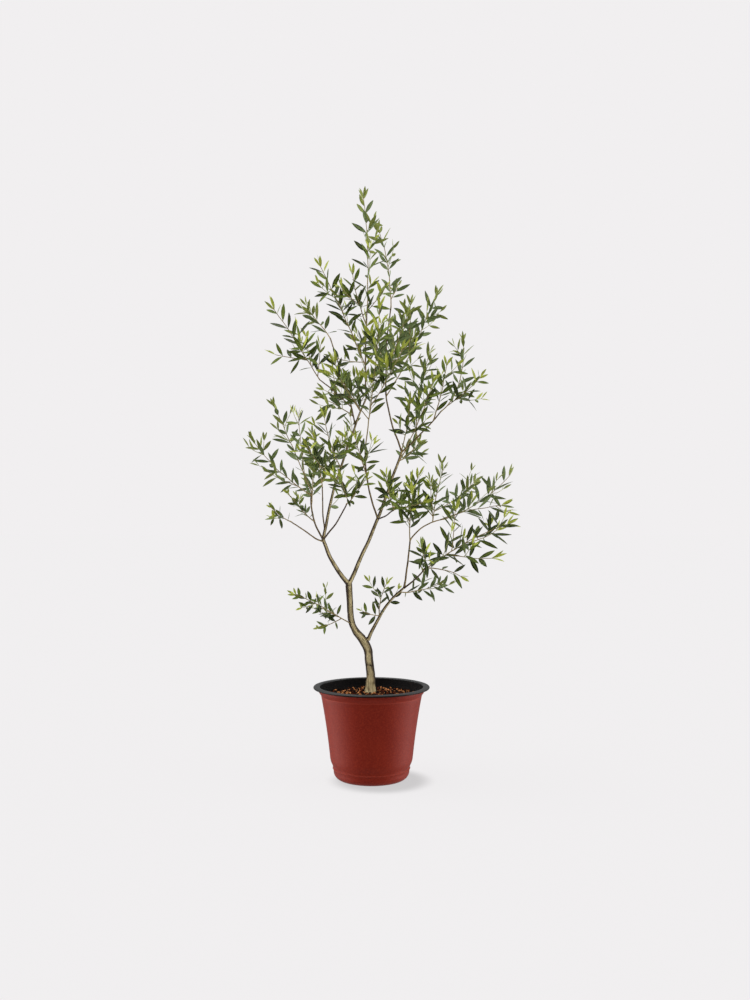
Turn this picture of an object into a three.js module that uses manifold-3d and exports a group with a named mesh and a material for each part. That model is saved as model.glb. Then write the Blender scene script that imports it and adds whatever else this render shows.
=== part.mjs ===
// A young olive tree in a ten-litre nursery pot.
// Millimetres, +Z up. The origin is the middle of the pot's flat underside, -Y is the front and +X the right.
import * as THREE from "three";
import { mergeVertices } from "three/addons/utils/BufferGeometryUtils.js";
import Module from "manifold-3d";

const wasm = await Module();
wasm.setup();

// Clearance kept between two pieces that touch on the real plant
const GAP = 0.3;

// Pot: a red outer wall moulded round a black lining, which rolls out over it as the rim
const POT = {
  height: 213.6,
  skin: 0.9,
  footRadius: 75,
  footFillet: 13,
  footTopRadius: 91.5,
  footTopHeight: 28,
  waistRadius: 96.2,
  waistHeight: 46,
  shoulderRadius: 116.8,
  shoulderHeight: 189,
  collarRadius: 123.4,
  collarHeight: 203.5,
  rimRadius: 135.5,
  rimThickness: 2.2,
  lipDrop: 2.5,
  lipThickness: 1.6,
};
const DRAIN_HOLES = { count: 6, radius: 5, circle: 45, depth: 12, sides: 8 };
const POT_SEGMENTS = 24;
const FILLET_STEPS = 2;

// Growing medium: clay pellets, filled to just under the rim and level round the trunk
const MEDIUM = { edgeHeight: 190, levelHeight: 194.7, levelRadius: 55 };

// Trunk stations, from under the flat cut up to the fork
const TRUNK_CUT = 195;
const TRUNK = [
  { height: 180, across: -2.5, back: 25, radius: 15 },
  { height: 195, across: -2.5, back: 25, radius: 12.2 },
  { height: 208, across: -2.2, back: 25, radius: 10.4 },
  { height: 236, across: -2, back: 24.5, radius: 9.7 },
  { height: 272, across: -6, back: 22, radius: 9.8 },
  { height: 296, across: -8.5, back: 20, radius: 10.3 },
  { height: 318, across: -19, back: 18, radius: 10.4 },
  { height: 344, across: -39.5, back: 17, radius: 8.1 },
  { height: 368, across: -48, back: 17, radius: 7.7 },
  { height: 415, across: -51.5, back: 16, radius: 7.3 },
  { height: 455, across: -54, back: 15, radius: 8 },
];

// Boughs. Each starts inside the limb that it grows on, at a share of that limb's length, and ends where its
// foliage begins. Reach and bow are [across, back, up]: the way from foot to tip, and how far the middle
// bends off that line.
const BOUGHS = [
  { name: "left_bough", on: "trunk", at: 0.985, reach: [-61, 5, 106], bow: [-4, 0, -5], radii: [5.4, 4.3] },
  { name: "right_bough", on: "trunk", at: 0.985, reach: [126, 25, 316], bow: [5, 0, -2], radii: [5, 2.9] },
  { name: "low_bough", on: "trunk", at: 0.48, reach: [93, -48, 131], bow: [-8, 0, 9], radii: [3.8, 2.6] },
  { name: "low_riser", on: "low_bough", at: 1, reach: [15, 30, 110], bow: [0, 0, 0], radii: [2.2, 1.8] },
  { name: "low_reach", on: "low_bough", at: 1, reach: [45, -60, 48], bow: [2, 0, -2], radii: [2, 1.7] },
  { name: "low_arm", on: "low_riser", at: 1, reach: [85, 60, 49], bow: [-6, 0, 9], radii: [1.7, 1.4] },
  {
    name: "left_leader", on: "left_bough", at: 1, reach: [103, -30, 333], bow: [-10, 0, 2],
    radii: [3.7, 2.2],
  },
  { name: "left_riser", on: "left_bough", at: 1, reach: [-32, 80, 114], bow: [-12, 0, 0], radii: [2.2, 1.8] },
  {
    name: "left_outrigger", on: "left_bough", at: 0.95, reach: [-72, -70, 48], bow: [0, 0, -3],
    radii: [1.8, 1.4],
  },
  { name: "left_inner", on: "left_bough", at: 1, reach: [59, -110, 83], bow: [4, 0, -3], radii: [2, 1.5] },
  {
    name: "left_prop", on: "left_leader", at: 0.06, reach: [-9, 62, 105], bow: [-3, 0, 2],
    radii: [1.7, 1.4],
  },
  {
    name: "right_inner", on: "right_bough", at: 0.5, reach: [-28, -108, 164], bow: [-9, 0, 2],
    radii: [2.2, 1.6],
  },
  {
    name: "right_front", on: "right_bough", at: 0.5, reach: [37, -98, 19], bow: [0, 0, -4],
    radii: [1.8, 1.5],
  },
  {
    name: "right_riser", on: "right_bough", at: 1, reach: [-37, 70, 145], bow: [-6, 0, 2],
    radii: [2.2, 1.8],
  },
  {
    name: "right_crown", on: "right_riser", at: 1, reach: [12, -20, 212], bow: [-5, 0, 0],
    radii: [1.8, 1.5],
  },
  { name: "right_reach", on: "right_bough", at: 1, reach: [91, -30, 92], bow: [3, 0, -2], radii: [2, 1.5] },
  { name: "high_left", on: "left_leader", at: 0.8, reach: [-62, 74, 219], bow: [3, 0, 0], radii: [1.8, 1.4] },
  { name: "far_left", on: "high_left", at: 0.2, reach: [-69, -81, 54], bow: [0, 0, 3], radii: [1.5, 1.3] },
  { name: "crown_leader", on: "left_leader", at: 1, reach: [2, 10, 215], bow: [-4, 0, 0], radii: [2, 1.5] },
];

// Masses of foliage. A stem leads each one, forks leave the stem at a share of its length, and their reach
// is to the tip of their last leaf. Bare is the share of every shoot that carries no leaf.
const MASSES = [
  { name: "top_leader", on: "crown_leader", at: 1, reach: [-10, 15, 275], bow: [5, 0, 0] },
  {
    name: "top_second", on: "right_crown", at: 1, reach: [-32, 0, 200], bow: [8, 0, 0],
    forks: [{ at: 0.1, reach: [19, 60, 50] }],
  },
  {
    name: "top_left_inner", on: "crown_leader", at: 0.8, reach: [-31, -88, 105], bow: [-4, 0, 0],
    forks: [{ at: 0.4, reach: [-42, -83, 24] }, { at: 0.2, reach: [52, -60, 50] }],
  },
  {
    name: "top_left", on: "crown_leader", at: 0.35, reach: [-103, -104, 215], bow: [6, 0, -8],
    forks: [{ at: 0.5, reach: [-16, 8, 63] }, { at: 0.04, reach: [-80, 36, 20] }],
  },
  { name: "high_left_tip", on: "high_left", at: 1, reach: [-58, 70, 83], bow: [4, 0, -4] },
  {
    name: "far_left_tip", on: "far_left", at: 1, reach: [-100, -90, 149], bow: [5, 0, -5],
    forks: [
      { at: 0.2, reach: [-15, 28, 77] },
      { at: 0.05, reach: [10, -56, 64] },
      { at: 0.3, reach: [-75, 10, 12] },
    ],
  },
  {
    name: "left_high", on: "high_left", at: 0.1, reach: [-84, 57, 53], bow: [0, 0, 4],
    forks: [{ at: 0.4, reach: [-17, -26, 85] }],
  },
  { name: "left_mid", on: "left_leader", at: 0.5, reach: [-32, -145, 108], bow: [-4, 0, -6] },
  { name: "left_low", on: "left_leader", at: 0.42, reach: [-60, -176, 65], bow: [-6, 0, -4] },
  {
    name: "left_tip_upper", on: "left_riser", at: 1, reach: [-91, -40, 211], bow: [5, 0, -8],
    forks: [{ at: 0.2, reach: [-8, -102, 137] }],
  },
  {
    name: "left_tip_outer", on: "left_riser", at: 0.94, reach: [-158, 70, 147], bow: [-6, 0, -10],
    forks: [{ at: 0.2, reach: [-70, -24, 33] }],
  },
  {
    name: "left_prop_tip", on: "left_prop", at: 1, reach: [-32, 110, 143], bow: [4, 0, -6],
    forks: [{ at: 0.1, reach: [49, 74, 106] }],
  },
  { name: "left_small", on: "left_riser", at: 0.4, reach: [-58, -62, 66], bow: [0, 0, -5] },
  { name: "left_back", on: "left_riser", at: 0.7, reach: [-5, 184, 133], bow: [0, 0, -10] },
  { name: "outrigger_tip", on: "left_outrigger", at: 1, reach: [-42, -60, 34], bow: [0, 0, -4] },
  {
    name: "left_inner_tip", on: "left_inner", at: 1, reach: [44, -70, 54], bow: [0, 0, -4],
    forks: [{ at: 0.1, reach: [-15, -93, 53] }],
  },
  { name: "mid_shoot", on: "right_inner", at: 0.6, reach: [-24, -123, 80], bow: [0, 0, -6] },
  {
    name: "low_left", on: "trunk", at: 0.65, reach: [-132, -108, 82], bow: [0, 0, 4], bare: 0.3,
    forks: [{ at: 0.3, reach: [-43, 74, 15] }, { at: 0.2, reach: [-52, -40, -18] }],
  },
  { name: "low_right_small", on: "low_bough", at: 0.33, reach: [20, -52, 110], bow: [3, 0, 0] },
  { name: "low_right_under", on: "low_bough", at: 0.9, reach: [101, 85, 14], bow: [0, 0, -6] },
  {
    name: "low_reach_tip", on: "low_reach", at: 1, reach: [84, -20, -19], bow: [0, 0, 6],
    forks: [{ at: 0.1, reach: [-22, -97, 53] }],
  },
  {
    name: "low_sweep", on: "low_reach", at: 0.9, reach: [199, 14, 107], bow: [0, 0, 10],
    forks: [
      { at: 0.3, reach: [108, -60, -8] },
      { at: 0.35, reach: [12, 40, 100] },
      { at: 0.5, reach: [104, 78, 32] },
    ],
  },
  { name: "low_arm_tip", on: "low_arm", at: 1, reach: [168, 50, 111], bow: [8, 0, -10] },
  { name: "low_arm_side", on: "low_arm", at: 0.9, reach: [148, -54, 35], bow: [0, 0, 6] },
  {
    name: "low_arm_up", on: "low_arm", at: 0.7, reach: [29, 38, 132], bow: [-4, 0, 0],
    forks: [
      { at: 0.2, reach: [114, 150, 78] },
      { at: 0.04, reach: [-10, -84, 84] },
      { at: 0.1, reach: [-52, -20, 70] },
    ],
  },
  {
    name: "low_riser_tip", on: "low_riser", at: 0.97, reach: [18, -50, 153], bow: [-8, 0, 0],
    forks: [{ at: 0.3, reach: [-38, 75, 67] }],
  },
  {
    name: "right_front_tip", on: "right_front", at: 1, reach: [-19, -100, 75], bow: [0, 0, -4],
    forks: [{ at: 0.1, reach: [70, -80, 11] }],
  },
  { name: "right_low_shoot", on: "right_bough", at: 0.93, reach: [54, 102, 54], bow: [0, 0, -6] },
  { name: "right_thin", on: "right_bough", at: 0.97, reach: [19, -101, 117], bow: [3, 0, 0], bare: 0.5 },
  { name: "right_mid", on: "right_bough", at: 0.9, reach: [78, -148, 182], bow: [4, 0, -6], bare: 0.4 },
  { name: "right_up", on: "right_reach", at: 0.35, reach: [39, 120, 230], bow: [-7, 0, 0] },
  {
    name: "right_tip", on: "right_reach", at: 1, reach: [60, 60, 183], bow: [16, 0, -20],
    forks: [{ at: 0.12, reach: [84, -98, 56] }],
  },
  { name: "right_tip_in", on: "right_reach", at: 0.8, reach: [28, -66, 127], bow: [3, 0, 0] },
  {
    name: "crown_right", on: "right_riser", at: 0.97, reach: [132, 80, 274], bow: [4, 0, -6],
    forks: [{ at: 0.4, reach: [0, -82, 117] }],
  },
  {
    name: "crown_back", on: "right_crown", at: 0.3, reach: [14, 176, 76], bow: [0, 0, -10],
    forks: [
      { at: 0.3, reach: [-43, 73, 96] },
      { at: 0.15, reach: [66, 40, 84] },
      { at: 0.04, reach: [50, -62, 122] },
    ],
  },
  {
    name: "crown_front", on: "right_inner", at: 1, reach: [33, -110, 298], bow: [3, 0, 0], bare: 0.25,
    forks: [{ at: 0.3, reach: [69, -117, 111] }, { at: 0.2, reach: [-70, -60, 95] }],
  },
  {
    name: "crown_core", on: "left_leader", at: 0.9, reach: [-62, -50, 110], bow: [0, 0, -4],
    forks: [
      { at: 0.1, reach: [38, -70, 60] },
      { at: 0.15, reach: [-20, 104, 80] },
      { at: 0.3, reach: [-70, 45, 25] },
    ],
  },
];

// Shoots of a mass: its stem, the forks that leave the stem, and the twigs that leave both
const STEM = { footRadius: 2, tipRadius: 1.4, rings: 3 };
const FORK = { footRadius: 1.4, tipRadius: 1.3, rings: 1 };
const TWIG = { footRadius: 1, tipRadius: 1, rings: 1 };
const SIDES = { trunk: 10, bough: 6, shoot: 4 };
const RINGS = { trunk: 14, bough: 4 };

// How twigs and leaves grow. First, last and offset are shares along the shoot, and slopes are radians off
// it, at its foot and its tip. Sizes shrink by a share toward the tip and vary by a share either way.
const TWIGS = { length: 74, spacing: 62, first: 0.3, last: 0.9, lift: 0.25, shrinks: 0.6, varies: 0.2 };
const LEAVES = {
  spacing: 43,
  offset: 0.2,
  last: 0.98,
  slopes: [1.05, 0.35],
  sways: 0.12,
  shrinks: 0.32,
  varies: 0.15,
};
const LEAF = { length: 55, width: 14.6, thickness: 1.6, waist: 0.45, arch: 2.6, sunk: 0.4 };
const LAST_LEAF = 17;
const BARE_SHARE = 0.18;
const GOLDEN_ANGLE = Math.PI * (3 - Math.sqrt(5));

// Room of a mass: how far its leaf tips lie from its main shoots, and how far its leaves, from these shares
// of their length on, keep from other things and from each other
const MASS_RADIUS = 82;
const ROOM = { clearance: 1, from: 0.1, ownClearance: 4.5, ownFrom: 0.35 };

// Edges shorter than this are merged away after a cut
const SHORT_EDGE = 0.01;

// Finishes
const finish = (color, roughness) => new THREE.MeshStandardMaterial({ color, roughness, metalness: 0 });
const RED_PLASTIC = finish("#8b3024", 0.45);
const BLACK_PLASTIC = finish("#1b1a1a", 0.4);
const CLAY_PELLETS = finish("#7a3f22", 0.9);
const TRUNK_BARK = finish("#8f8157", 0.85);
const BOUGH_BARK = finish("#7a6540", 0.85);
const OLIVE_LEAF = finish("#4f6b33", 0.55);

// Solids

function solidOf(geometry) {
  const plain = geometry.clone();
  plain.deleteAttribute("normal");
  plain.deleteAttribute("uv");
  const merged = mergeVertices(plain, 1e-4);
  const vertProperties = merged.attributes.position.array;
  const triVerts = new Uint32Array(merged.index.array);
  return new wasm.Manifold(new wasm.Mesh({ numProp: 3, vertProperties, triVerts }));
}

function meshOf(name, solid, material) {
  const { vertProperties, triVerts } = solid.getMesh();
  const geometry = new THREE.BufferGeometry();
  geometry.setAttribute("position", new THREE.BufferAttribute(vertProperties, 3));
  geometry.setIndex(new THREE.BufferAttribute(triVerts, 1));
  geometry.computeVertexNormals();
  const mesh = new THREE.Mesh(geometry, material);
  mesh.name = name;
  return mesh;
}

function lathe(profile) {
  return solidOf(new THREE.LatheGeometry(profile, POT_SEGMENTS).rotateX(Math.PI / 2));
}

// Random numbers from 0 to 1, always the same ones for a seed
function seeded(seed) {
  let state = seed;
  return () => {
    state = (state + 0x6d2b79f5) | 0;
    let mixed = Math.imul(state ^ (state >>> 15), 1 | state);
    mixed = (mixed + Math.imul(mixed ^ (mixed >>> 7), 61 | mixed)) ^ mixed;
    return ((mixed ^ (mixed >>> 14)) >>> 0) / 2 ** 32;
  };
}

// A number either side of zero, as far as the range
const sway = (random, range) => range * (2 * random() - 1);

// Pot

// The pot's outer outline from the axis up to a height, moved in by an inset
function potOutline(inset, top) {
  const outline = [new THREE.Vector2(0, inset)];
  const fillet = new THREE.Path();
  fillet.absarc(POT.footRadius, POT.footFillet, POT.footFillet - inset, -Math.PI / 2, 0, false);
  outline.push(...fillet.getSpacedPoints(FILLET_STEPS));
  outline.push(new THREE.Vector2(POT.footTopRadius - inset, POT.footTopHeight));
  outline.push(new THREE.Vector2(POT.waistRadius - inset, POT.waistHeight));
  outline.push(new THREE.Vector2(POT.shoulderRadius - inset, POT.shoulderHeight));
  const collarRadius = top < POT.collarHeight ? POT.shoulderRadius : POT.collarRadius;
  outline.push(new THREE.Vector2(collarRadius - inset, Math.min(top, POT.collarHeight)));
  if (top > POT.collarHeight) outline.push(new THREE.Vector2(collarRadius - inset, top));
  return outline;
}

function drainHoles() {
  const { count, radius, circle, depth, sides } = DRAIN_HOLES;
  const holes = [];
  for (let i = 0; i < count; i += 1) {
    const angle = ((i + 0.5) * 2 * Math.PI) / count;
    const hole = new THREE.CylinderGeometry(radius, radius, depth, sides);
    hole.rotateX(Math.PI / 2);
    hole.translate(circle * Math.cos(angle), circle * Math.sin(angle), 0);
    holes.push(solidOf(hole));
  }
  return wasm.Manifold.union(holes);
}

const RIM_UNDERSIDE = POT.height - POT.rimThickness;

function potWall() {
  const top = RIM_UNDERSIDE - GAP;
  const outer = potOutline(0, top);
  const inner = potOutline(POT.skin, top).reverse();
  return lathe([...outer, ...inner]).subtract(drainHoles());
}

function potLining() {
  const inset = POT.skin + GAP;
  const outer = potOutline(inset, RIM_UNDERSIDE);
  const lipRadius = POT.rimRadius - POT.lipThickness;
  const lipFoot = RIM_UNDERSIDE - POT.lipDrop;
  const rim = [
    new THREE.Vector2(lipRadius, RIM_UNDERSIDE),
    new THREE.Vector2(lipRadius, lipFoot),
    new THREE.Vector2(POT.rimRadius, lipFoot),
    new THREE.Vector2(POT.rimRadius, RIM_UNDERSIDE),
    new THREE.Vector2(POT.rimRadius - POT.rimThickness, POT.height),
  ];
  const inner = potOutline(inset + POT.skin, POT.height).reverse();
  return lathe([...outer, ...rim, ...inner]).subtract(drainHoles());
}

function growingMedium() {
  const inset = 2 * (POT.skin + GAP);
  const outer = potOutline(inset, MEDIUM.edgeHeight);
  const level = new THREE.Vector2(MEDIUM.levelRadius, MEDIUM.levelHeight);
  const centre = new THREE.Vector2(0, MEDIUM.levelHeight);
  return lathe([...outer, level, centre]);
}

// Limbs

const vector = (values = [0, 0, 0]) => new THREE.Vector3(...values);

// A curve from foot to tip whose middle lies off the straight line by the bow
function limbPath(foot, reach, bow) {
  const tip = foot.clone().add(reach);
  const control = foot.clone().lerp(tip, 0.5).addScaledVector(bow, 2);
  return new THREE.QuadraticBezierCurve3(foot, control, tip);
}

// A closed tube along a path: a cylinder with its rings moved along, its foot flat and its tip domed
function tube(path, radiusAt, sides, rings) {
  const geometry = new THREE.CylinderGeometry(1, 1, 1, sides, rings);
  const frames = path.computeFrenetFrames(rings);
  const position = geometry.attributes.position;
  const local = new THREE.Vector3();
  for (let i = 0; i < position.count; i += 1) {
    local.fromBufferAttribute(position, i);
    const share = local.y + 0.5;
    const ring = Math.round(share * rings);
    const centre = path.getPointAt(share);
    const radius = radiusAt(share, centre);
    const isTipCentre = ring === rings && Math.hypot(local.x, local.z) < 0.5;
    if (isTipCentre) centre.addScaledVector(frames.tangents[ring], radius);
    centre.addScaledVector(frames.binormals[ring], local.x * radius);
    centre.addScaledVector(frames.normals[ring], local.z * radius);
    position.setXYZ(i, centre.x, centre.y, centre.z);
  }
  return solidOf(geometry);
}

// A limb's solid, and the same limb grown all round by the clearance, for its neighbours to be cut by
function limb(name, { path, radiusAt, rings }, sides) {
  const clearance = GAP / Math.cos(Math.PI / sides);
  const grownRadius = (share, point) => radiusAt(share, point) + clearance;
  return {
    name,
    path,
    radiusAt,
    rings,
    solid: tube(path, radiusAt, sides, rings),
    grown: tube(path, grownRadius, sides, rings),
  };
}

const tapered = (foot, tip) => (share) => THREE.MathUtils.lerp(foot, tip, share);

function trunkRadius(share, point) {
  const above = TRUNK.findIndex((station) => station.height >= point.z);
  if (above === -1) return TRUNK[TRUNK.length - 1].radius;
  if (above === 0) return TRUNK[0].radius;
  const low = TRUNK[above - 1];
  const high = TRUNK[above];
  return THREE.MathUtils.mapLinear(point.z, low.height, high.height, low.radius, high.radius);
}

function growTrunk() {
  const points = TRUNK.map(({ across, back, height }) => vector([across, back, height]));
  const path = new THREE.CatmullRomCurve3(points);
  const trunk = limb("trunk", { path, radiusAt: trunkRadius, rings: RINGS.trunk }, SIDES.trunk);
  const ground = new THREE.BoxGeometry(POT.rimRadius, POT.rimRadius, TRUNK_CUT);
  ground.translate(0, 0, TRUNK_CUT / 2);
  trunk.solid = trunk.solid.subtract(solidOf(ground));
  return trunk;
}

function growBough({ name, on, at, reach, bow, radii }) {
  const foot = limbs.get(on).path.getPointAt(at);
  const path = limbPath(foot, vector(reach), vector(bow));
  return limb(name, { path, radiusAt: tapered(...radii), rings: RINGS.bough }, SIDES.bough);
}

const largest = (solid) => solid.decompose().sort((a, b) => b.volume() - a.volume())[0];

// Cuts a solid clear of its neighbours and drops what comes loose
function cutClear(solid, neighbours) {
  let cut = solid;
  for (const neighbour of neighbours) cut = cut.subtract(neighbour);
  return largest(cut).simplify(SHORT_EDGE);
}

// Room taken up so far: straight stretches of limb, twig and leaf, each with its radius and its owner
const taken = [];

function stretchesOf({ path, radiusAt, rings }, owner) {
  const stretches = [];
  for (let i = 0; i < rings; i += 1) {
    const line = new THREE.Line3(path.getPointAt(i / rings), path.getPointAt((i + 1) / rings));
    const radius = Math.max(radiusAt(i / rings, line.start), radiusAt((i + 1) / rings, line.end));
    stretches.push({ line, radius, owner });
  }
  return stretches;
}

const apart = (a, b, reach) => a.distanceSqToLine3(b) > reach * reach;

// Whether a stretch lies clear of every limb and every other mass
function isFree({ line, radius, owner }) {
  const others = taken.filter((other) => other.owner !== owner);
  return others.every((other) => apart(line, other.line, radius + other.radius + ROOM.clearance));
}

// Whether the outer part of a leaf stands off everything else in its own mass
function standsOff({ outer, owner }) {
  const own = taken.filter((other) => other.owner === owner);
  return own.every((other) => apart(outer, other.outer ?? other.line, ROOM.ownClearance));
}

// Foliage

// A direction square to another, turned by an angle round it
function across(direction, angle) {
  const helper = Math.abs(direction.z) < 0.9 ? vector([0, 0, 1]) : vector([1, 0, 0]);
  const side = helper.cross(direction).normalize();
  return side.applyAxisAngle(direction, angle);
}

// A shoot of one kind along a path, with the frames that its four sides follow
function shootAlong(path, { footRadius, tipRadius, rings }, bare) {
  const frames = path.computeFrenetFrames(rings);
  return { path, radiusAt: tapered(footRadius, tipRadius), rings, bare, frames };
}

// The middle of a shoot, on the straight line between two of its rings, and two directions square to it there
function sectionAt({ path, frames, rings }, share) {
  const ring = Math.min(Math.floor(share * rings), rings - 1);
  const blend = share * rings - ring;
  const centre = path.getPointAt(ring / rings).lerp(path.getPointAt((ring + 1) / rings), blend);
  const normal = frames.normals[ring].clone().lerp(frames.normals[ring + 1], blend);
  const binormal = frames.binormals[ring].clone().lerp(frames.binormals[ring + 1], blend);
  return { centre, normal, binormal };
}

// The way out of a section through the middle of one of the shoot's sides
function outward({ normal, binormal }, side) {
  const angle = ((side + 0.5) * 2 * Math.PI) / SIDES.shoot;
  const out = normal.clone().multiplyScalar(Math.cos(angle));
  return out.addScaledVector(binormal, Math.sin(angle)).normalize();
}

// The stem of a mass and its forks
function mainShoots({ on, at, reach, bow, forks = [], bare = BARE_SHARE }) {
  const upToLastLeaf = (whole) => whole.setLength(whole.length() - LAST_LEAF);
  const stemPath = limbPath(limbs.get(on).path.getPointAt(at), upToLastLeaf(vector(reach)), vector(bow));
  const stem = shootAlong(stemPath, STEM, bare);
  const sides = forks.map((fork) => {
    const path = limbPath(sectionAt(stem, fork.at).centre, upToLastLeaf(vector(fork.reach)), vector());
    return shootAlong(path, FORK, bare);
  });
  return [stem, ...sides];
}

// Twigs leave a shoot one by one, each a golden angle on, shorter toward the tip and lifted to the light
function growTwigs(mass, random) {
  const twigs = [];
  for (const shoot of mass.shoots) {
    const stretch = TWIGS.last - TWIGS.first;
    const count = Math.floor((stretch * shoot.path.getLength()) / TWIGS.spacing);
    let angle = 2 * Math.PI * random();
    for (let i = 0; i < count; i += 1) {
      const share = TWIGS.first + (stretch * (i + random())) / count;
      angle += GOLDEN_ANGLE;
      const tangent = shoot.path.getTangentAt(share);
      const reach = across(tangent, angle).add(tangent).normalize();
      reach.z += TWIGS.lift;
      reach.setLength(TWIGS.length * (1 - TWIGS.shrinks * share) * (1 + sway(random, TWIGS.varies)));
      const path = limbPath(sectionAt(shoot, share).centre, reach, vector());
      const twig = shootAlong(path, TWIG, BARE_SHARE);
      const stretches = stretchesOf(twig, mass.name);
      if (!stretches.every(isFree)) continue;
      taken.push(...stretches);
      twigs.push(twig);
    }
  }
  return twigs;
}

// One leaf: an eight-faced blade, widest before the middle and arched, with its root sunk through the shoot
function leafSolid(root, heading, side, size) {
  const geometry = new THREE.OctahedronGeometry(1);
  const face = heading.clone().cross(side);
  const position = geometry.attributes.position;
  const local = new THREE.Vector3();
  for (let i = 0; i < position.count; i += 1) {
    local.fromBufferAttribute(position, i);
    const isEnd = Math.abs(local.y) > 0.5;
    const along = isEnd ? (local.y + 1) / 2 : LEAF.waist;
    const point = root.clone().addScaledVector(heading, along * LEAF.length * size);
    point.addScaledVector(side, (local.x * LEAF.width * size) / 2);
    point.addScaledVector(face, (isEnd ? 0 : -LEAF.arch) - (local.z * LEAF.thickness) / 2);
    position.setXYZ(i, point.x, point.y, point.z);
  }
  return solidOf(geometry);
}

// Leaves stand along a shoot on opposite sides by turns, then on the two sides between
function growLeaves(mass, shoot, random) {
  const { path, bare } = shoot;
  const leaves = [];
  const count = Math.max(2, Math.round(((1 - bare) * path.getLength()) / LEAVES.spacing));
  const firstSide = Math.floor(SIDES.shoot * random());
  for (let i = 0; i <= count; i += 1) {
    const share = Math.min(bare + ((1 - bare) * (i + LEAVES.offset)) / count, LEAVES.last);
    const tangent = path.getTangentAt(share);
    const section = sectionAt(shoot, share);
    const outside = outward(section, firstSide + 2 * (i % 2) + Math.floor(i / 2));
    const slope = THREE.MathUtils.lerp(...LEAVES.slopes, share) + sway(random, LEAVES.sways);
    const heading = tangent.clone().multiplyScalar(Math.cos(slope)).addScaledVector(outside, Math.sin(slope));
    const side = tangent.clone().cross(heading).normalize();
    const size = (1 - LEAVES.shrinks * share * share) * (1 + sway(random, LEAVES.varies));
    const root = section.centre.addScaledVector(heading, -LEAF.sunk);
    const tip = root.clone().addScaledVector(heading, LEAF.length * size);
    const blade = {
      line: new THREE.Line3(root.clone().lerp(tip, ROOM.from), tip),
      outer: new THREE.Line3(root.clone().lerp(tip, ROOM.ownFrom), tip),
      radius: (LEAF.width * size) / 2,
      owner: mass.name,
    };
    if (!isFree(blade) || !standsOff(blade) || !mass.holds(tip)) continue;
    taken.push(blade);
    leaves.push(leafSolid(root, heading, side, size));
  }
  return leaves;
}

// Trunk and boughs, each cut clear of the ones before it
const limbs = new Map();
const trunk = growTrunk();
limbs.set(trunk.name, trunk);
for (const row of BOUGHS) {
  const bough = growBough(row);
  const earlier = [...limbs.values()].map((other) => other.grown);
  bough.solid = cutClear(bough.solid, earlier);
  limbs.set(bough.name, bough);
}
for (const bough of limbs.values()) taken.push(...stretchesOf(bough, bough.name));

// Masses: the main shoots of all, then the twigs of all, then the leaves, so that each finds its room
const masses = MASSES.map((row, index) => {
  const shoots = mainShoots(row);
  const core = shoots.flatMap((shoot) => stretchesOf(shoot, row.name));
  const nearest = new THREE.Vector3();
  const holds = (point) =>
    core.some(({ line }) => line.closestPointToPoint(point, true, nearest).distanceTo(point) < MASS_RADIUS);
  taken.push(...core);
  return { name: row.name, shoots, holds, random: seeded(index + 1) };
});
for (const mass of masses) mass.twigs = growTwigs(mass, mass.random);
for (const mass of masses) {
  mass.leaves = [...mass.shoots, ...mass.twigs].flatMap((shoot) => growLeaves(mass, shoot, mass.random));
}

// The plant, with every mass cut clear of the limbs and of the stems of the masses before it
const plant = new THREE.Group();
plant.add(meshOf("pot_wall", potWall(), RED_PLASTIC));
plant.add(meshOf("pot_lining", potLining(), BLACK_PLASTIC));
plant.add(meshOf("growing_medium", growingMedium(), CLAY_PELLETS));
for (const { name, solid } of limbs.values()) {
  plant.add(meshOf(name, solid, name === "trunk" ? TRUNK_BARK : BOUGH_BARK));
}
const cutters = [...limbs.values()].map((other) => other.grown);
for (const mass of masses) {
  const stems = mass.shoots.map((shoot) => limb(mass.name, shoot, SIDES.shoot));
  const twigs = mass.twigs.map(({ path, radiusAt, rings }) => tube(path, radiusAt, SIDES.shoot, rings));
  const whole = wasm.Manifold.union([...stems.map((stem) => stem.solid), ...twigs, ...mass.leaves]);
  plant.add(meshOf(mass.name, cutClear(whole, cutters), OLIVE_LEAF));
  cutters.push(...stems.map((stem) => stem.grown));
}

export default plant;
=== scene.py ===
import math

import bpy
import numpy as np
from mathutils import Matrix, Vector, kdtree, noise


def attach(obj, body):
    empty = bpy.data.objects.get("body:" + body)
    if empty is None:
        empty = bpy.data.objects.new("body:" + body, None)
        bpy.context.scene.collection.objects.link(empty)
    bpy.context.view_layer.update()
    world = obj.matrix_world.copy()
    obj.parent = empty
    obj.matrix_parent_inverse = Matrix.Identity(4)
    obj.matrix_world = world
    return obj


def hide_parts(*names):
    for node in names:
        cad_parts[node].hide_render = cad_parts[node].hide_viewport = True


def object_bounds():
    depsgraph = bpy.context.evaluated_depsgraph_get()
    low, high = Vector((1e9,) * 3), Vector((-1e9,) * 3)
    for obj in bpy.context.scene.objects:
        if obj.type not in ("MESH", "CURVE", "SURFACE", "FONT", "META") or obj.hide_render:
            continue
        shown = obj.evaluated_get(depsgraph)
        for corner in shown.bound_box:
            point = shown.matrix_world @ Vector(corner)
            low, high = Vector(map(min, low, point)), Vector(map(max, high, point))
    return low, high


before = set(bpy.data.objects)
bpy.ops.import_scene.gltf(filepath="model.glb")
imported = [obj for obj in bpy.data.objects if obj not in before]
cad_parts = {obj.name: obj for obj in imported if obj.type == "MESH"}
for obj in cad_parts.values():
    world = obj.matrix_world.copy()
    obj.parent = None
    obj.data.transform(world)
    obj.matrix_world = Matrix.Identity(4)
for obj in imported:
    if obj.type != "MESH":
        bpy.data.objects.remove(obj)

CAD_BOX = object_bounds()

# A young olive tree in a ten-litre nursery pot. Sizes are in millimetres and become metres where a mesh is
# made. The origin is the middle of the pot's flat underside, -Y is the front, +X the right and +Z up.
MM = 0.001

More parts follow.
